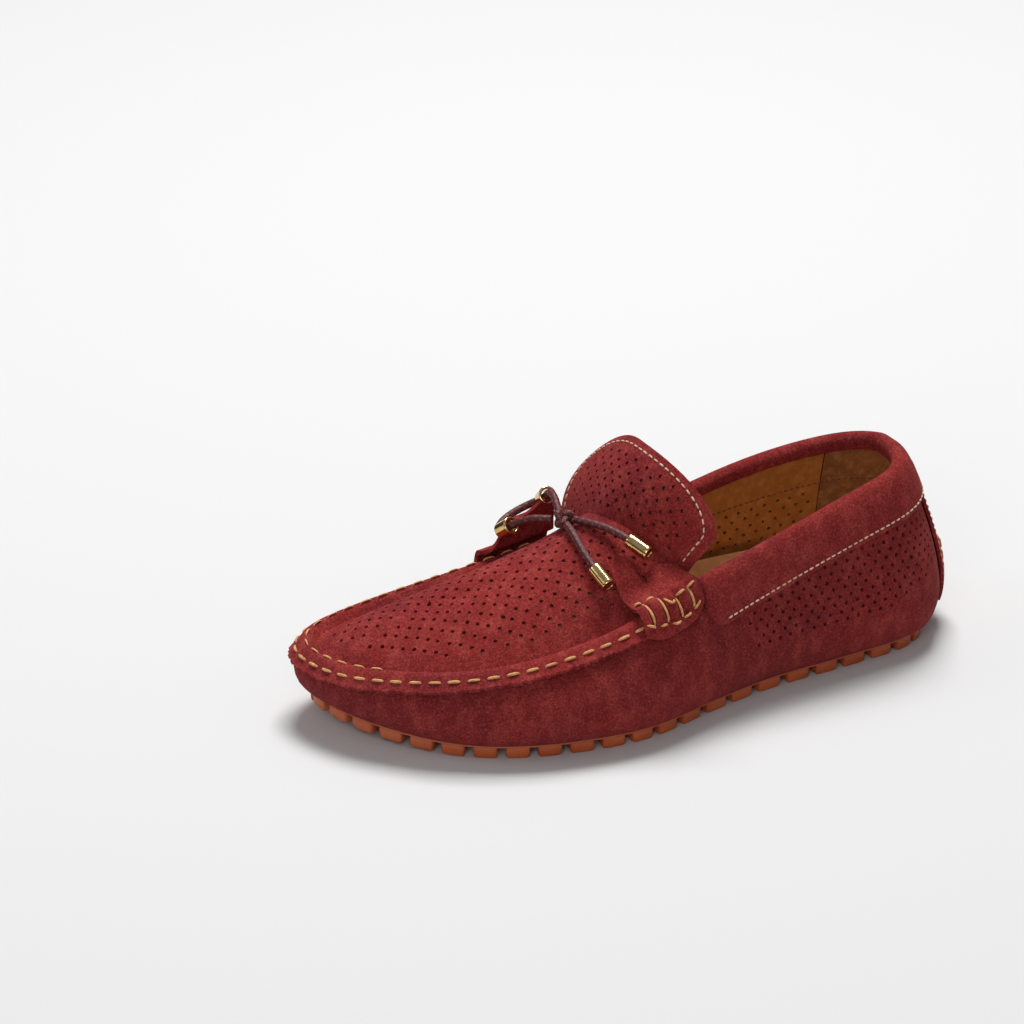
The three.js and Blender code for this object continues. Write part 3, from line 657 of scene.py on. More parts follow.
def goldLook(name):
    s = Shade(name)
    wear = s.noise(220, 4, 0.6)
    fine = s.noise(1800, 2, 0.5, (1.0, 1.0, 0.2), 2.0)
    color = s.mix(s.span(wear, 0.35, 0.7), fromSrgb(208, 172, 110), fromSrgb(232, 204, 150))
    return s.out(Base_Color=color, Metallic=1.0, Roughness=s.span(fine, 0.3, 0.7, 0.09, 0.2),
        Normal=s.bump(fine, 0.00001, 0.15))


def cordLook(name, dark, main, light, rough=0.5):
    s = Shade(name)
    strand = s.noise(700, 3, 0.6)
    fine = s.noise(3200, 2, 0.6, None, 3.0)
    color = s.mix(s.span(strand, 0.35, 0.65), fromSrgb(*dark), fromSrgb(*main))
    color = s.mix(s.span(fine, 0.5, 0.75, 0.0, 0.6), color, fromSrgb(*light))
    return s.out(Base_Color=color, Roughness=s.span(strand, 0.3, 0.7, rough - 0.08, rough + 0.12),
        Normal=s.bump(fine, 0.0002, 0.7), Sheen_Weight=0.15, Sheen_Roughness=0.4)


def braidLook(name):
    s = Shade(name)
    weave = s.node("ShaderNodeAttribute", {"attribute_name": "weave"}, {}, "Fac")
    pale = s.node("ShaderNodeAttribute", {"attribute_name": "pale"}, {}, "Fac")
    fine = s.noise(2600, 3, 0.7)
    # painted shade: the braid darkens towards the valleys between its strands
    color = s.mix(s.span(weave, 0.15, 0.8), fromSrgb(26, 6, 8), fromSrgb(88, 28, 32))
    color = s.mix(s.span(fine, 0.42, 0.7, 0.0, 0.5), color, fromSrgb(122, 54, 58))
    # painted highlight: pale ticks on the strand crowns
    color = s.mix(s.span(pale, 0.25, 0.8, 0.0, 0.75), color, fromSrgb(196, 132, 122))
    return s.out(Base_Color=color, Roughness=s.span(fine, 0.3, 0.7, 0.38, 0.6),
        Normal=s.bump(fine, 0.00025, 0.7), Specular_IOR_Level=0.4)


# One suede in three brightness copies: the wrap copy is darkened (0.93) as painted shade on the steep sides,
# the apron copy, also used on the tongue, is lightened (1.05) as painted light on the upward faces, and the
# trim copy is a little darker (0.98).
suedeWrap = suedeLook("suedeWrap", 0.93)
suedeApron = suedeLook("suedeApron", 1.05)
suedeTrim = suedeLook("suedeTrim", 0.98)
liningLeather = leatherLook("liningLeather", (158, 96, 40), (182, 114, 52), (202, 138, 74), 1500, 0.5)
gripLeather = leatherLook("gripLeather", (112, 66, 30), (148, 94, 50), (190, 140, 90), 700, 0.8, 0.0004)
footbedLeather = leatherLook("footbedLeather", (206, 156, 104), (220, 172, 118), (232, 190, 140), 1800, 0.6)
gumRubber = rubberLook("gumRubber")
goldMetal = goldLook("goldMetal")
laceCord = braidLook("laceCord")
tanThread = cordLook("tanThread", (190, 128, 72), (220, 164, 102), (240, 204, 148), 0.6)
creamThread = cordLook("creamThread", (200, 160, 132), (226, 196, 170), (240, 222, 204), 0.6)
brownThread = cordLook("brownThread", (92, 52, 22), (118, 70, 32), (150, 98, 50), 0.6)
boardStock = leatherLook("boardStock", (74, 52, 32), (92, 66, 42), (112, 84, 56), 900, 0.85)
foamStock = leatherLook("foamStock", (206, 196, 170), (220, 212, 188), (232, 226, 208), 500, 0.95, 0.0004)
print("materials made")


# Lace: the cords come first.
lace = {
    "diameter": 3.3,
    "loop": [[27.0, -19.6, 73.0], [25.8, -24, 74.6], [24.6, -29, 76.2], [23.6, -34, 75.6],
        [22.9, -37.8, 73.0], [22.2, -42, 69.8], [23.2, -45.6, 67.2], [26.4, -48.2, 64.8],
        [31, -49.2, 62.8], [36.4, -48.2, 61.2], [41, -45.2, 60.2], [43.6, -41.2, 60.2],
        [43.4, -37.4, 61.8], [42, -33.6, 64.8], [39.6, -29.4, 68], [36.6, -25, 70.4],
        [33.6, -21, 71.4], [31.2, -18.4, 71.8]],
    "upper": [[25.6, -9.6, 74], [23.8, -3.6, 75], [21.4, 2.6, 75.6], [18.8, 8.6, 75.4],
        [16.2, 14.6, 74.4], [13.8, 19.6, 72.6]],
    "lower": [[29.4, -9.4, 72.6], [30.2, -4, 72.4], [31, 2, 71.2], [31.6, 8.4, 69],
        [31.6, 15, 66.4], [30.8, 20.6, 63.8]],
    "knotScale": 1.12,
}
tabs = {"width": 32, "across": 65, "along": 56, "samples": 160, "bulge": 1.3,
    "valleys": (-0.66, -0.22, 0.22, 0.66),
    "lateral": {"at": 0.26, "flapSpan": 1.06}, "medial": {"at": 0.708, "flapSpan": 0.95},
    "roll": [[-8.5, 4.8], [-5, 5.2], [-1.4, 5.4], [3.6, 5.8], [7.6, 4.6], [9.6, 1.8]]}
aglet = {"radius": 3.2, "length": 10.5, "grip": 3.0, "bore": 2.0, "floor": 3.3}
tube = {"radius": 3.5, "wall": 0.7, "length": 7.0,  # along the tab, off its line, axis
    "places": {"rear": (0.73, (0.01, 4.39, 17.34), (0.15, 0.8, 0.58)),
        "front": (-0.47, (-0.06, 10.91, 13.81), (-0.25, 0.75, 0.6))}}


# A turned profile of radius and height pairs, standing on an axis.
def latheAt(name, profile, foot, axis, look, node, body, sides=48):
    axis = unit(np.array(axis, float))
    side = unit(np.cross(axis, [0.2, 0.1, 1.0]))
    up = np.cross(axis, side)
    angle = turns(sides)
    ring = side * np.cos(angle)[:, None] + up * np.sin(angle)[:, None]
    rings = [foot + axis * z + ring * r for r, z in profile]
    obj = gridPiece(name, np.array([np.vstack([r, r[:1]]) for r in rings]), 0.00001)
    edited(obj, 0.00001)
    return finished(obj, look, [node], body, 35)


def agletProfile():
    r, l = aglet["radius"], aglet["length"]
    rim = [(r - 0.5, 0.0), (r - 0.15, 0.12), (r, 0.4), (r, 0.9), (r - 0.22, 1.0), (r - 0.22, 1.2), (r, 1.35)]
    return [(0.001, aglet["floor"]), (aglet["bore"], aglet["floor"]), (aglet["bore"], 0.0), *rim,
        *[(x, l - z) for x, z in rim[::-1]], (r - 1.1, l - 0.05), (r - 1.3, l - 0.35), (0.001, l - 0.4)]


for end in ("upper", "lower"):
    path = smoothPath(lace[end], 110)
    piece = braidPiece(f"laceEnd_{end}", path, lace["diameter"], laceCord, [f"lace_end_{end}"], f"lace_{end}")
    way = unit(path[-1] - path[-6])
    foot = path[-1] - way * aglet["grip"]
    cap = latheAt(f"barrelAglet_{end}", agletProfile(), foot, way, goldMetal, f"aglet_{end}",
        f"lace_{end}")
loopPath = smoothPath(lace["loop"], 260)
laceLoop = braidPiece("laceLoop", loopPath, lace["diameter"], laceCord, ["lace_loop"], "root")

# The overhand knot: three crossing lobes drawn tight.
t = np.linspace(0, 2 * math.pi, 200, endpoint=False)
lobes = np.stack([np.sin(t) + 2 * np.sin(2 * t), np.cos(t) - 2 * np.cos(2 * t), -1.25 * np.sin(3 * t)], -1)
knotUp = unit(np.array([0.25, 0.45, 0.86]))
knotSide = unit(np.cross([0, 1, 0], knotUp))
knotPath = knotCenter + lace["knotScale"] * (lobes[:, :1] * knotSide + lobes[:, 1:2]
    * np.cross(knotUp, knotSide) + lobes[:, 2:] * knotUp)
knot = braidPiece("laceKnot", np.vstack([knotPath, knotPath[:3]]), 3.1, laceCord, ["lace_knot"], "root")

# Rolled-rim tubes that the lace runs through.
for end, (along, offset, axis) in tube["places"].items():
    mouth = seam(tabs["medial"]["at"] + along * tabs["width"] / 2 / girth, *rollEnd) + offset
    axis = unit(np.array(axis))
    r, w, l = tube["radius"], tube["wall"], tube["length"]
    bead = [(r - w / 2 + 0.62 * math.cos(a), l + 0.1 + 0.55 * math.sin(a)) for a in np.linspace(-1.0, 4.0, 12)]
    profile = [(r - w, 0), (r, 0), (r, l - 0.6), *bead, (r - w, l - 0.6), (r - w, 0)]
    latheAt(f"eyeletTube_{end}", profile, mouth - axis * l, axis, goldMetal, f"eyelet_tube_{end}",
        "root")
print("lace, knot, aglets and eyelets made")


# Wrap.
wrap = {"step": (4.2, 3.0), "pitch": 5.6, "row": 3.3, "hole": 0.85, "holeTop": 4.5, "underReach": 9.0,
    "holeFrom": 0.035, "holeTo": 0.205, "belowTopline": 13.0, "aboveSeam": 1.8, "turnedIn": 6.0}


def wrapTop(share):
    share = np.asarray(share, float) % 1
    front = step(share * stations, 12.7, 13.3) * (1 - step(share * stations, 44.7, 45.3))
    return (topHeight(share) - wrap["belowTopline"]) * (1 - front) + (seamHeight(share)
        + wrap["aboveSeam"]) * front


# v is the height above the widest line, and below it the run round the turned-in edge
def wrapPlace(u, v):
    share = np.asarray(u, float) / girth
    point, inward, rise, low, wide = levels(share)
    depth = (last["wideHeight"] - v) / (last["wideHeight"] - wrap["turnedIn"])
    turned = wide - (wide - low) * np.sin(np.clip(depth, 0, 1) * math.pi / 2)
    height = np.where(v > last["wideHeight"], v + rise / 2 * np.clip((40 - v) / 20, 0, 1), turned)
    side = wall(share, np.maximum(height, low))
    under = floorPoint(share, last["footInset"] + np.maximum(0, wrap["turnedIn"] - v), 0.0, last["underside"])
    return np.where((v < wrap["turnedIn"])[..., None], under, side)


us = np.linspace(0, girth, 181)
topLine = pairs(us, wrapTop(us / girth))
bottomLine = pairs(us, wrap["turnedIn"] - wrap["underReach"])
wrapBorder = framed(bottomLine, topLine, np.linspace(bottomLine[0, 1], topLine[0, 1], 16)[1:-1])


def onSides(points):
    share = points[:, 0] / girth
    nearest = np.minimum(share, 1 - share)
    front = wrap["holeTo"] + 0.0004 * (points[:, 1] - 40)
    low = 24.5 + 10 * step(nearest, 0.12, 0.04)
    return ((nearest > wrap["holeFrom"]) & (nearest < front) & (points[:, 1] > low)
        & (points[:, 1] < wrapTop(share) - wrap["holeTop"] - 2.0))


wrapHoles = lattice(wrapBorder, wrap["pitch"], wrap["row"], onSides)


def outwards(centers):
    return centers - [5.0, -8.0, 30.0]


wrapPiece = cutPiece("suedeWrap", wrapBorder, wrapPlace, wrap["step"], wrapHoles, wrap["hole"],
    last["suede"], outwards)
finished(wrapPiece, suedeWrap, ["moccasin_wrap"], angle=50)
print("wrap cut and laid")


# Apron with its stitched ridge.
apron = {"step": (2.4, 2.2), "pitch": 6.3, "row": 3.4, "hole": 0.85, "margin": 11.0, "alongScale": 8.0,
    "acrossScale": 36.0, "ridgeScale": 14.0, "lip": 0.5,
    "crownRear": 17, "crownToe": 101, "toeCrown": 44, "crownBend": 1.35}
ridge = [[4.0, -5.6], [4.6, -3.2], [5.4, -0.8], [4.6, 1.2], [2.6, 2.0], [0, 1.9], [-1.6, 2.1], [-3.3, 2.5],
    [-4.2, 3.1]]
ridgeLine = smoothPath(ridge, 60)


apronSpan = (last["apronRear"], last["toe"])


def medialShare(k):
    t = (k - last["apronRear"]) / (last["levelFrom"] - last["apronRear"])
    return np.where(k >= last["levelFrom"], 1 - k / stations,
        (last["medialRear"] + (40 - last["medialRear"]) * t) / stations)


def crownAt(x):
    share = np.maximum(0, (apron["crownToe"] - x) / (apron["crownToe"] - apron["crownRear"]))
    return apron["toeCrown"] + (last["instepHeight"] - apron["toeCrown"]) * share ** apron["crownBend"]


# k is the station and t runs from the lateral rim at -1 to the medial rim at 1
def domePoint(k, t):
    k, t = np.broadcast_arrays(np.asarray(k, float), t)
    rims = [seam(s, *ridgeFoot) for s in (k / stations, medialShare(k))]
    rim = np.where((t < 0)[..., None], rims[0], rims[1])
    run = (k - last["apronRear"]) / (last["toe"] - last["apronRear"])
    x = apron["crownRear"] + (apron["crownToe"] - apron["crownRear"]) * run
    crown = np.stack([x, (rims[0][..., 1] + rims[1][..., 1]) / 2, crownAt(x)], -1)
    r = np.abs(t)[..., None]
    point = crown + (rim - crown) * r
    point[..., 2] = (crown + (rim - crown) * r ** 2)[..., 2]
    return point


# the crown line ends in a crease, so the height near the toe is averaged over the plan
domeMap = {"cell": 1.0, "passes": 26, "from": 70, "full": 92, "corner": (0.0, -75.0), "cells": (160, 150)}
reachMarks = [t.ravel() for t in np.meshgrid(np.linspace(*apronSpan, 420), np.linspace(-1, 1, 360))]
cloud = domePoint(*reachMarks)
cells = np.floor((cloud[:, :2] - domeMap["corner"]) / domeMap["cell"]).astype(int)
total, amount = np.zeros(domeMap["cells"]), np.zeros(domeMap["cells"])
np.add.at(total, (cells[:, 0], cells[:, 1]), cloud[:, 2])
np.add.at(amount, (cells[:, 0], cells[:, 1]), 1.0)
filled = amount > 0
total[filled] /= amount[filled]
filled = filled.astype(float)
for _ in range(domeMap["passes"]):
    for axis in (0, 1):
        total = (total + np.roll(total, 1, axis) + np.roll(total, -1, axis)) / 3
        filled = (filled + np.roll(filled, 1, axis) + np.roll(filled, -1, axis)) / 3
averaged = total / np.maximum(filled, 1e-6)


def averageHeight(x, y):
    i, j = (np.clip((at - start) / domeMap["cell"] - 0.5, 0, count - 2) for at, start,
        count in zip((x, y), domeMap["corner"], domeMap["cells"]))
    i0, j0 = np.floor(i).astype(int), np.floor(j).astype(int)
    f, g = i - i0, j - j0
    near, far = (averaged[i0, j] * (1 - f) + averaged[i0 + 1, j] * f for j in (j0, j0 + 1))
    return near * (1 - g) + far * g


# The dome with its toe smoothed.
def smoothDome(k, t):
    point = domePoint(k, t)
    weight = step(point[..., 0], domeMap["from"], domeMap["full"]) * (1 - step(np.abs(t), 0.7, 1.0))
    point[..., 2] += weight * (averageHeight(point[..., 0], point[..., 1]) - point[..., 2])
    return point


# a runs from the instep to the toe and b from rim to rim, past the dome and up over the ridge
def apronPlace(a, b):
    a, b = np.broadcast_arrays(np.asarray(a, float), b)
    k = last["apronRear"] + np.clip(a / apron["alongScale"], 0, apronSpan[1] - apronSpan[0])
    reach = np.abs(b)
    dome = smoothDome(k, np.sign(b) * np.minimum(1, reach / apron["acrossScale"]))
    w = np.clip((reach - apron["acrossScale"]) / apron["ridgeScale"], 0, 1) * 59
    up = np.interp(w, np.arange(60), ridgeLine[:, 0])
    out = np.interp(w, np.arange(60), ridgeLine[:, 1])
    share = np.where(b < 0, k / stations, medialShare(k))
    return np.where((reach > apron["acrossScale"])[..., None], seam(share, up, out), dome)


half = apron["acrossScale"] + apron["ridgeScale"]
length = (apronSpan[1] - apronSpan[0]) * apron["alongScale"]
edgeRuns = np.linspace(0, length, 190)
jagged = dice.normal(0, apron["lip"], (2, 190))
jagged = (jagged + np.roll(jagged, 1, 1)) * 0.6
jagged[:, -1] = 0
apronBorder = framed(pairs(edgeRuns, -half + np.abs(jagged[0])), pairs(edgeRuns, half - np.abs(jagged[1])),
    np.linspace(-half, half, 61)[1:-1])
pattern = np.meshgrid(np.linspace(0, length, 260), np.linspace(-apron["acrossScale"], apron["acrossScale"],
    220))
pattern = pairs(*(values.ravel() for values in pattern))
spread = apronPlace(*pattern.T)
apronHoles = []
for p in lattice(np.array([[10, -60], [130, 60]]), apron["pitch"], apron["row"]):
    gap2 = ((spread[:, :2] - p) ** 2).sum(1)
    i = gap2.argmin()
    if gap2[i] < 0.5:
        apronHoles.append((*pattern[i], *spread[i]))
apronHoles = np.array(apronHoles)
rimRun = np.linspace(*apronSpan, 120)
rimLine = np.vstack([seam(share, *ridgeFoot) for share in (rimRun / stations, medialShare(rimRun))])
keep = farFrom(apronHoles[:, 2:4], rimLine[:, :2], apron["margin"] - 4) & (apronHoles[:, 0] > 5)
foldLine = apronPlace(np.full(60, length), np.linspace(0, apron["acrossScale"], 60))
keep &= farFrom(apronHoles[:, 2:4], foldLine[:, :2], 1.5)
apronHoles = apronHoles[keep][:, :2]


def upwards(centers):
    return np.broadcast_to([0.0, 0.0, 1.0], centers.shape)


def forwards(centers):
    return np.broadcast_to([1.0, 0.0, 0.6], centers.shape)


apronPiece = cutPiece("perforatedApron", apronBorder, apronPlace, apron["step"], apronHoles, apron["hole"],
    last["suede"], upwards)
finished(apronPiece, suedeApron, ["apron"], angle=60)
print("apron cut and laid,", len(apronHoles), "holes")


# Tongue.
tongue = {"across": 42.0, "up": 38.0, "step": (2.2, 2.2), "pitch": 6.0, "row": 3.4, "hole": 0.85, "round": 3.4,
    "lateralEnd": -0.95, "medialEnd": 0.985, "swell": (7.2, 6.0), "topX": -4, "topY": -8,
    "sides": ((-22, 39, 88), (2, -45, 80))}


def tonguePlace(a, b, drop=0.0):
    a, b = np.broadcast_arrays(np.asarray(a, float), b)
    across, up = a / tongue["across"], b / tongue["up"]
    low = domePoint(np.full(across.shape, float(last["apronRear"])), across)
    low[..., 0] -= 0.6
    reach = np.abs(across)
    lateral = across < 0
    x, y, z = (np.where(lateral, tongue["sides"][0][i], tongue["sides"][1][i]) for i in range(3))
    paintedLightHeight = np.stack([tongue["topX"] + (x - tongue["topX"]) * reach ** 2,
        tongue["topY"] + (y - tongue["topY"]) * reach, last["tongueHeight"] + (z - last["tongueHeight"])
        * reach ** 2], -1)
    bow = 4 * up * (1 - up)
    swell = np.where(lateral, *tongue["swell"]) * 5.4 * np.maximum(up, 0) ** 1.7 * (1 - up)
    point = low + (paintedLightHeight - low) * up[..., None] + np.stack([1.5 * bow, -across * swell, 1.5 * bow], -1)
    if drop:
        nudge = 0.2
        du = tonguePlace(a + nudge, b) - tonguePlace(a - nudge, b)
        dv = tonguePlace(a, b + nudge) - tonguePlace(a, np.maximum(b - nudge, 0))
        point = point + unit(np.cross(dv, du)) * drop
    return point


def tongueEdge(count):
    a = np.linspace(tongue["lateralEnd"], tongue["medialEnd"], count)
    b = np.maximum(0, 1 - np.abs(a) ** tongue["round"]) ** (1 / tongue["round"])
    return pairs(a * tongue["across"], b * tongue["up"])


edge = evenly(tongueEdge(160), 110)
baseRun = np.linspace(edge[-1, 0], edge[0, 0], 50)
tongueFoot = -5.0  # runs in under the apron
lowEnds = [pairs(e[0], np.linspace(tongueFoot, e[1], 10)[1:-1]) for e in (edge[0], edge[-1])]
tongueBorder = np.vstack([edge, lowEnds[1][::-1], pairs(baseRun, tongueFoot), lowEnds[0]])
edgeShape = np.vstack([edge * [0.80, 0.83], [[edge[-1, 0] * 0.8, 5], [edge[0, 0] * 0.8, 5]]])
tongueHoles = lattice(tongueBorder, tongue["pitch"], tongue["row"], lambda points: inside(edgeShape, points))
tonguePiece = cutPiece("perforatedTongue", tongueBorder, tonguePlace, tongue["step"], tongueHoles,
    tongue["hole"], last["suede"], forwards)
finished(tonguePiece, suedeApron, ["tongue"], "tongue", 50)
liningBack = cutPiece("tongueLining", tongueBorder * [0.985, 0.99] + [0, 0.1], lambda a,
    b: tonguePlace(a, b, -(last["suede"] + 0.5)), (4, 4), np.zeros((0, 2)), 1, last["lining"], forwards)
finished(liningBack, liningLeather, ["tongue_lining"], "tongue", 50)
print("tongue made,", len(tongueHoles), "holes")

# Collar: a padded band folded over the topline.
collar = {"depth": 19.5, "from": -16, "to": 14, "rows": 170, "corner": 9.0, "fill": 0.8,
    "outer": [[0.4, 19.5], [1.9, 19.5], [3.0, 16.25], [3.3, 10], [3.2, 5], [1.8, 0.8], [-1, -0.8],
        [-4, 0.5], [-5.4, 4.4]],
    "inner": [[-4.1, 4.4], [-3.2, 1.9], [-1, 0.8], [0.6, 2], [1.8, 5], [1.5, 12], [0.5, 15.25], [0.4, 17.9]]}
collarLine = np.vstack([smoothPath(collar["outer"], 34), smoothPath(collar["inner"], 16)])
seamGap = 0.6 / girth
runs = np.linspace(collar["from"] / stations + seamGap, collar["to"] / stations - seamGap, collar["rows"])
fromEnd = np.minimum(runs - runs[0], runs[-1] - runs) * girth
cornerDepth = collar["depth"] - np.where(fromEnd < collar["corner"],
    collar["corner"] - np.sqrt(np.maximum(0, collar["corner"] ** 2 - (collar["corner"] - fromEnd) ** 2)), 0)
bands = []
for share, depth, ends in zip(runs, cornerDepth, fromEnd):
    out, down = collarLine[:, 0], collarLine[:, 1].copy()
    down = np.where(down > 6, 6 + (down - 6) * (depth - 6) / (collar["depth"] - 6), down)
    puff = 0.22 * np.sin(share * girth / 5.2 + 3 * np.sin(share * girth / 23)) * np.clip((12
        - np.abs(down - 7)) / 12, 0, 1)
    thin = min(1, 0.35 + 0.65 * math.sqrt(min(1, ends / 2.5)))
    middle = 1.2
    out = middle + (out + puff * (out > 2) - middle) * np.where(down > 3, thin, 1)
    bands.append(wall(np.full(len(out), share), topHeight(share) - down, out))
bands = np.array(bands)
bands = np.concatenate([bands, bands[:, :1]], 1)


# rings drawn in to their middle close an end
def gathered(ring):
    middle = ring.mean(0)
    return [middle + (ring - middle) * k for k in (0.0, 0.5)]


bands = np.array([*gathered(bands[0]), *bands, *gathered(bands[-1])[::-1]])
collarPiece = gridPiece("paddedCollar", bands)
edited(collarPiece)
finished(collarPiece, suedeTrim, ["collar_band", "collar_foam"], angle=60)
print("collar made")

# Linings.
lining = {"foot": 16.0, "below": 5.2, "behind": 4.1, "span": 50.0, "line": 36.0, "pitch": 6.0,
    "row": 4.0, "hole": 0.8}


def liningTop(share):
    return topHeight(share) - lining["below"]


def liningFoot(share):
    return lining["foot"] + lift(outlineAt(share)[0][..., 0])


def liningPlace(u, v):
    share = np.asarray(u, float) / girth
    bottom = liningFoot(share)
    return wall(share, bottom + (liningTop(share) - bottom) * v / lining["span"], -lining["behind"])


def liningPiece(name, node, start, stop, look, punched):
    u0, u1 = start * girth, stop * girth
    count = int((u1 - u0) / 3)
    runU = np.linspace(u0, u1, count)
    border = framed(pairs(runU, 0.0), pairs(runU, lining["span"]), np.linspace(0, lining["span"], 14)[1:-1])
    holes = np.zeros((0, 2))
    if punched:
        holes = lattice(border, lining["pitch"], lining["row"], lambda p: (p[:, 0] > u0 + 4)
            & (p[:, 0] < u1 - 4) & (p[:, 1] > 4) & (p[:, 1] < 33))
    obj = cutPiece(name, border, liningPlace, (4.5, 4.0), holes, lining["hole"], last["lining"],
        lambda centers: -outwards(centers))
    return finished(obj, look, [node], angle=50)


grip = 5 / stations
liningPiece("liningLateral", "lining_lateral", grip + seamGap, 14 / stations, liningLeather, True)
liningPiece("liningMedial", "lining_medial", -16 / stations, -grip - seamGap, liningLeather, True)
liningPiece("heelGrip", "heel_grip_lining", -grip, grip, gripLeather, False)

footbed = {"inset": 7.4, "top": 14.7, "cup": 2.2, "thickness": 1.0, "arch": 13.5}
around = np.linspace(0, 1, 181)
reach = np.array([0.0, 0.2, 0.4, 0.6, 0.75, 0.86, 0.93, 0.97, 1.0])


# the medial side rises into an arch pad
def archAt(share):
    x = float(outlineAt(share)[0][0])
    return float((share > 0.5) * step(x, -112, -72) * (1 - step(x, -40, 5)))


bed = np.array([[floorPoint(s, footbed["inset"] + 1.6 * archAt(s), 1 - r,
    footbed["top"] + footbed["cup"] * r ** 7 + footbed["arch"] * archAt(s) * r ** 2.4) for r in reach]
    for s in around])
bedPiece = gridPiece("footbed", bed)
thickened(bedPiece, footbed["thickness"], upwards)
finished(bedPiece, footbedLeather, ["sock_lining"], angle=50)
print("linings and footbed made")

# Saddle tabs.

def lateralFlap(share, t):
    reach = 21 * t
    return seam(share, *ridgeFoot) + np.append(outlineAt(share)[1] * reach * 0.72, 4 + reach * 0.95 - t * t)


def medialFlap(share, t):
    rear = float(step((share - tabs["medial"]["at"]) * girth / 16, 0.2, 0.7)) * t * t
    return seam(share, *rollEnd) + np.append(outlineAt(share)[1] * (2.2 * t + 2.6 * rear),
        2 + 10 * t + 5.5 * rear)


def roundEnd(a):
    return 0.1 * abs(a) ** 6


def twoLobes(a):
    return roundEnd(a) + 0.3 * float(step(-a, -0.5, 0.2)) + 0.14 * math.exp(-60 * a * a)


def laceCorner(a):
    return roundEnd(a) + 0.36 * float(step(-a, 0.1, 0.75))


def tabLine(side, flap, a):
    share = lambda f: tabs[side]["at"] + a * tabs["width"] / 2 / girth * (1 + (tabs[side]["flapSpan"] - 1) * f)
    points = [seam(share(0), up, out) for up, out in tabs["roll"]] + [flap(share(i / 3), i / 3)
        for i in (1, 2, 3)]
    return smoothPath(points, tabs["samples"])


def saddleTab(side, flap, cut, node):
    across, marks = np.linspace(-1, 1, tabs["across"]), np.arange(tabs["samples"])
    at = np.array([np.linspace(0.14 * abs(a) ** 4, 1 - cut(a), tabs["along"]) for a in across])
    grid = np.array([np.stack([np.interp(t * marks[-1], marks, values)
        for values in tabLine(side, flap, a).T], -1) for a, t in zip(across, at)])
    du, dv = np.gradient(grid, axis=0), np.gradient(grid, axis=1)
    normal = unit(np.cross(du, dv))
    if normal[..., 2].mean() < 0:
        normal = -normal
    valleys = sum(np.exp(-((across - v) / 0.075) ** 2) for v in tabs["valleys"])[:, None]
    inRoll = step(at, 0.10, 0.2) * (1 - step(at, 0.36, 0.46))
    dome = 1 - np.abs(across[:, None]) ** 6
    height = inRoll * (tabs["bulge"] * dome - 1.5 * valleys * (np.abs(across[:, None]) < 0.9))
    groove = np.exp(-((at - 0.13) / 0.018) ** 2) + np.exp(-((at - 0.43) / 0.018) ** 2)
    height = height - 0.55 * groove * dome
    curl = 2.2 * step(at, 0.78, 1.0) * np.sin(across * 5.0 + 0.6)[:, None] if side == "lateral" else 0
    grid = grid + normal * (height + curl)[..., None]
    obj = gridPiece(f"saddleTab_{side}", grid)
    thickened(obj, last["suede"], upwards)
    finished(obj, suedeTrim, [node], angle=60)
    return grid, normal


tabGrids = {"lateral": saddleTab("lateral", lateralFlap, twoLobes, "saddle_tab_lateral"),
    "medial": saddleTab("medial", medialFlap, laceCorner, "saddle_tab_medial")}
print("saddle tabs made")

# Stitching.
stitch = {  # pitch, length, radius
    "apron": (7.9, 5.2, 0.62), "collar": (2.9, 2.1, 0.36), "tongue": (3.4, 2.4, 0.36), "arc": 0.55,
    "inner": (7.9, 5.0, 0.42), "backstay": (2.8, 2.0, 0.34), "lining": (2.6, 1.7, 0.28),
    "arcRun": (8, 23), "edgeColumns": (7, 24), "down": 17.3}


seamRun = np.linspace(16.6, 43.4, 600) / stations
rows = sewn(seam(seamRun, 0.2, 2.1), seam(seamRun, 0.2, 3.1), *stitch["apron"], 0.35, 0.12)
stitchPiece("apronStitches", rows, tanThread, ["apron_thread"])
# the inner row shows on the far flank and at the toe
innerRun = np.linspace(27.6, 43.2, 320) / stations
rows = sewn(seam(innerRun, 5.3, 0.4), seam(innerRun, 6.0, 1.2), *stitch["inner"], 0.3, 0.12)
stitchPiece("apronInnerStitches", rows, tanThread, [])

collarRun = np.linspace(-0.2545, 0.2215, 900)
lines = [wall(collarRun, topHeight(collarRun) - stitch["down"], out) for out in (2.75, 3.8)]
stitchPiece("collarStitches", sewn(*lines, *stitch["collar"], 0.3, 0.05), creamThread, ["collar_thread"])

rowEdge = edge * [0.925, 0.905]
rowEdge = np.vstack([[rowEdge[0, 0], 5.0], rowEdge[0] - [0, 6], rowEdge, rowEdge[-1] - [0, 6],
    [rowEdge[-1, 0], 5.0]])
tongueRun = smoothPath(rowEdge, 700)
tonguePoints = tonguePlace(tongueRun[:, 0], tongueRun[:, 1])
tongueNormals = unit(np.cross(tonguePlace(tongueRun[:, 0] + 0.3, tongueRun[:, 1]) - tonguePoints,
    tonguePlace(tongueRun[:, 0], tongueRun[:, 1] + 0.3) - tonguePoints))
if tongueNormals[:, 2].mean() < 0:
    tongueNormals = -tongueNormals
stitchPiece("tongueStitches", runStitches(tonguePoints, tongueNormals, *stitch["tongue"], 0.3, 0.08),
    creamThread, [], "tongue")

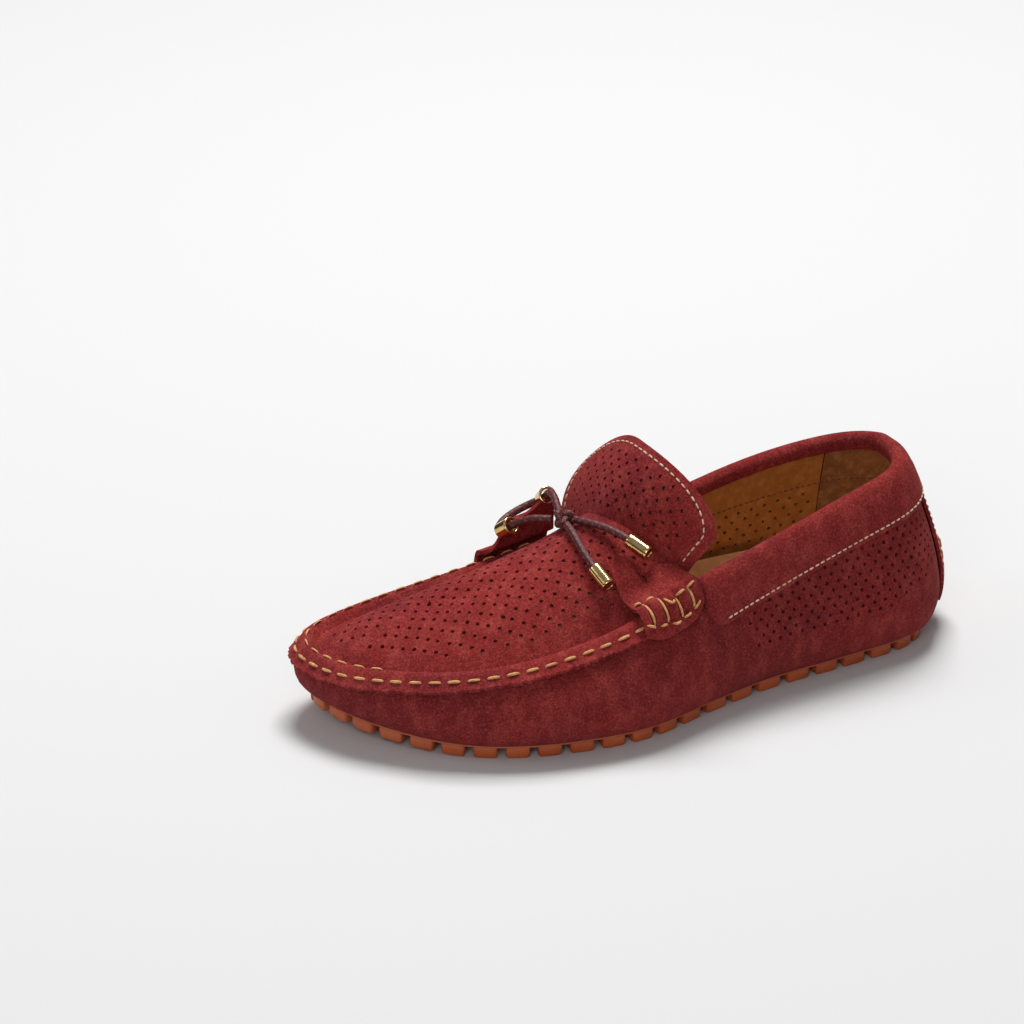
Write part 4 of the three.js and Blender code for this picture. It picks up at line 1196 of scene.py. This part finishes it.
for side, (grid, normal) in tabGrids.items():
    arcs = []
    for v in tabs["valleys"]:
        i = int(round((v + 1) * 32))
        pointsOn = grid[i] + normal[i] * 0.45
        a, b = stitch["arcRun"]
        middle = 2 * (pointsOn[(a + b) // 2] + normal[i][(a + b) // 2] * 0.5) - (pointsOn[a] + pointsOn[b]) / 2
        arcs.append((pointsOn[a], middle, pointsOn[b], normal[i][(a + b) // 2], stitch["arc"]))
    for column in stitch["edgeColumns"]:
        for v in np.linspace(-0.88, 0.66, 5):
            i, j = int(round((v + 1) * 32)), int(round((v + 0.24 + 1) * 32))
            j = min(j, 63)
            start, end = grid[i][column] + normal[i][column] * 0.3, grid[j][column] + normal[j][column] * 0.3
            middle = grid[(i + j) // 2][column] + normal[(i + j) // 2][column] * 0.7
            arcs.append((start, 2 * middle - (start + end) / 2, end, normal[i][column], stitch["arc"]))
    stitchPiece(f"tabStitches_{side}", arcs, tanThread, [])
# the line under the plain band of the lining
liningRun = np.linspace(-15.4, 13.4, 700) / stations * girth
liningPoints = liningPlace(liningRun, lining["line"])
liningOut = unit(liningPoints - wall(liningRun / girth, liningPoints[:, 2], -2.0))
stitchPiece("liningStitches", runStitches(liningPoints, liningOut, *stitch["lining"], 0.3, 0.05),
    brownThread, [])
print("stitching made")

# Sole: a plate with nubs moulded on it.
sole = {"inset": 6.5, "nubs": 47, "nubInset": 10.95, "nub": (10.2, 8.5), "draft": 0.5,
    "nubTop": 5.3, "tread": 6.4, "pitch": 13.5, "margin": 24, "bevel": 1.3}
section = [(1.0, 5.0), (0.5, 5.0), (0.06, 5.0), (0.0, 5.15), (0.0, 6.05), (0.06, 6.2), (0.5, 6.2), (1.0, 6.2)]
plate = np.array([[floorPoint(s, sole["inset"], spineward, z) for spineward, z in section] for s in around])
solePlate = gridPiece("solePlate", plate)
edited(solePlate)
nubParts = []


def nubAt(place, size, low, paintedLightHeight, bevel):
    bpy.ops.mesh.primitive_cube_add(size=1)
    nub = bpy.context.object
    for v in nub.data.vertices:
        grow = sole["draft"] if v.co.z < 0 else 0
        v.co.x *= size[0] - grow
        v.co.y *= size[1] - grow
        v.co.z = low if v.co.z < 0 else paintedLightHeight
    applied(nub, "BEVEL", width=bevel, segments=3, limit_method="NONE")
    applied(nub, "SUBSURF", levels=1, render_levels=1, subdivision_type="SIMPLE")
    local = np.array([v.co[:] for v in nub.data.vertices])
    nub.data.vertices.foreach_set("co", world(place(local)).ravel())
    nub.data.update()
    nubParts.append(nub)


def joinNubs(base):
    active(base)
    for nub in nubParts:
        nub.select_set(True)
    bpy.ops.object.join()
    edited(base, 0)


for i in range(sole["nubs"]):
    share = (i + 0.5) / sole["nubs"]

    def placeNub(local, share=share):
        s = share + local[:, 0] / girth * 1.06
        point, inward = outlineAt(s)
        return raised(point + inward * (sole["nubInset"] + local[:, 1])[:, None], local[:, 2])

    nubAt(placeNub, sole["nub"], 0.0, sole["nubTop"], sole["bevel"])
for x in np.arange(-130, 135, sole["pitch"]):
    for y in np.arange(-60, 60, sole["pitch"]):
        spot = np.array([x, y])
        if inside(edgeTable[::40], spot[None])[0] and np.linalg.norm(edgeTable - spot,
                axis=1).min() > sole["margin"]:
            nubAt(lambda local, spot=spot: raised(local[:, :2] + spot, local[:, 2]),
                (sole["tread"], sole["tread"]), 0.0, sole["nubTop"], 0.8)
joinNubs(solePlate)
finished(solePlate, gumRubber, ["rubber_sole"], angle=40)
print("sole made")

# Heel strip and heel rubber.
heel = {"width": 38, "foot": 12.0, "tab": 28, "tabTop": 38.0, "nub": 4.4, "nubDepth": 1.3, "face": 2.3,
    "tabThick": 0.9}
strip = []
for a in np.linspace(-1, 1, 25):
    s = a * heel["width"] / 2 / girth
    strip.append(wall(np.full(30, s), np.linspace(heel["foot"], topHeight(s) - 19.3, 30), 2.0))
stripPiece = gridPiece("backstay", np.array(strip))
thickened(stripPiece, 1.4, outwards)
finished(stripPiece, suedeTrim, ["backstay"], angle=50)
rows = []
for side in (-1, 1):
    s = side * (heel["width"] / 2 - 2.2) / girth
    h = np.linspace(heel["foot"] + 1, topHeight(s) - 20.5, 120)
    rows += sewn(wall(s, h, 2.0), wall(s, h, 3.0), *stitch["backstay"], 0.3, 0.05)
stitchPiece("backstayStitches", rows, creamThread, [])

tabFaceGrid = np.array([wall(np.full(16, a * heel["tab"] / 2 / girth),
    np.linspace(heel["foot"], heel["tabTop"], 16), heel["face"] + heel["tabThick"])
    for a in np.linspace(-1, 1, 17)])
heelTab = gridPiece("heelRubberTab", tabFaceGrid)
thickened(heelTab, heel["tabThick"], outwards)
nubParts = []
for column in (-1, 0, 1):
    for row in range(4):
        s = column * heel["tab"] / 2 / girth * 0.62
        h = heel["foot"] + 5 + row * (heel["tabTop"] - heel["foot"] - 10) / 3
        nubAt(lambda local, s=s, h=h: wall(s + local[:, 0] / girth, h + local[:, 1], 2.9 + local[:, 2]),
            (heel["nub"], heel["nub"]), heel["nubDepth"] + 0.3, 0.0, 0.5)
joinNubs(heelTab)
finished(heelTab, gumRubber, ["heel_rubber_tab"], angle=40)

# Hidden stiffeners and padding keep their own shapes.
for node, look in (("insole_board", boardStock), ("insole_foam", foamStock), ("heel_counter", boardStock),
        ("toe_puff", boardStock), ("apron_lining", liningLeather)):
    obj = frame["nodes"][node]
    obj.data.materials.clear()
    obj.data.materials.append(look)

# Floor.
bpy.ops.mesh.primitive_plane_add(size=studio["floorSize"], location=(0, 0, 0))
floor = bpy.context.object
floor.name = "floor"
paper = Shade("floorPaper")
grain = paper.noise(300, 2)
floor.data.materials.append(paper.out(Base_Color=paper.mix(grain, studio["floorTone"],
    tuple(c * 1.01 for c in studio["floorTone"])), Roughness=0.9))

print("all pieces made")
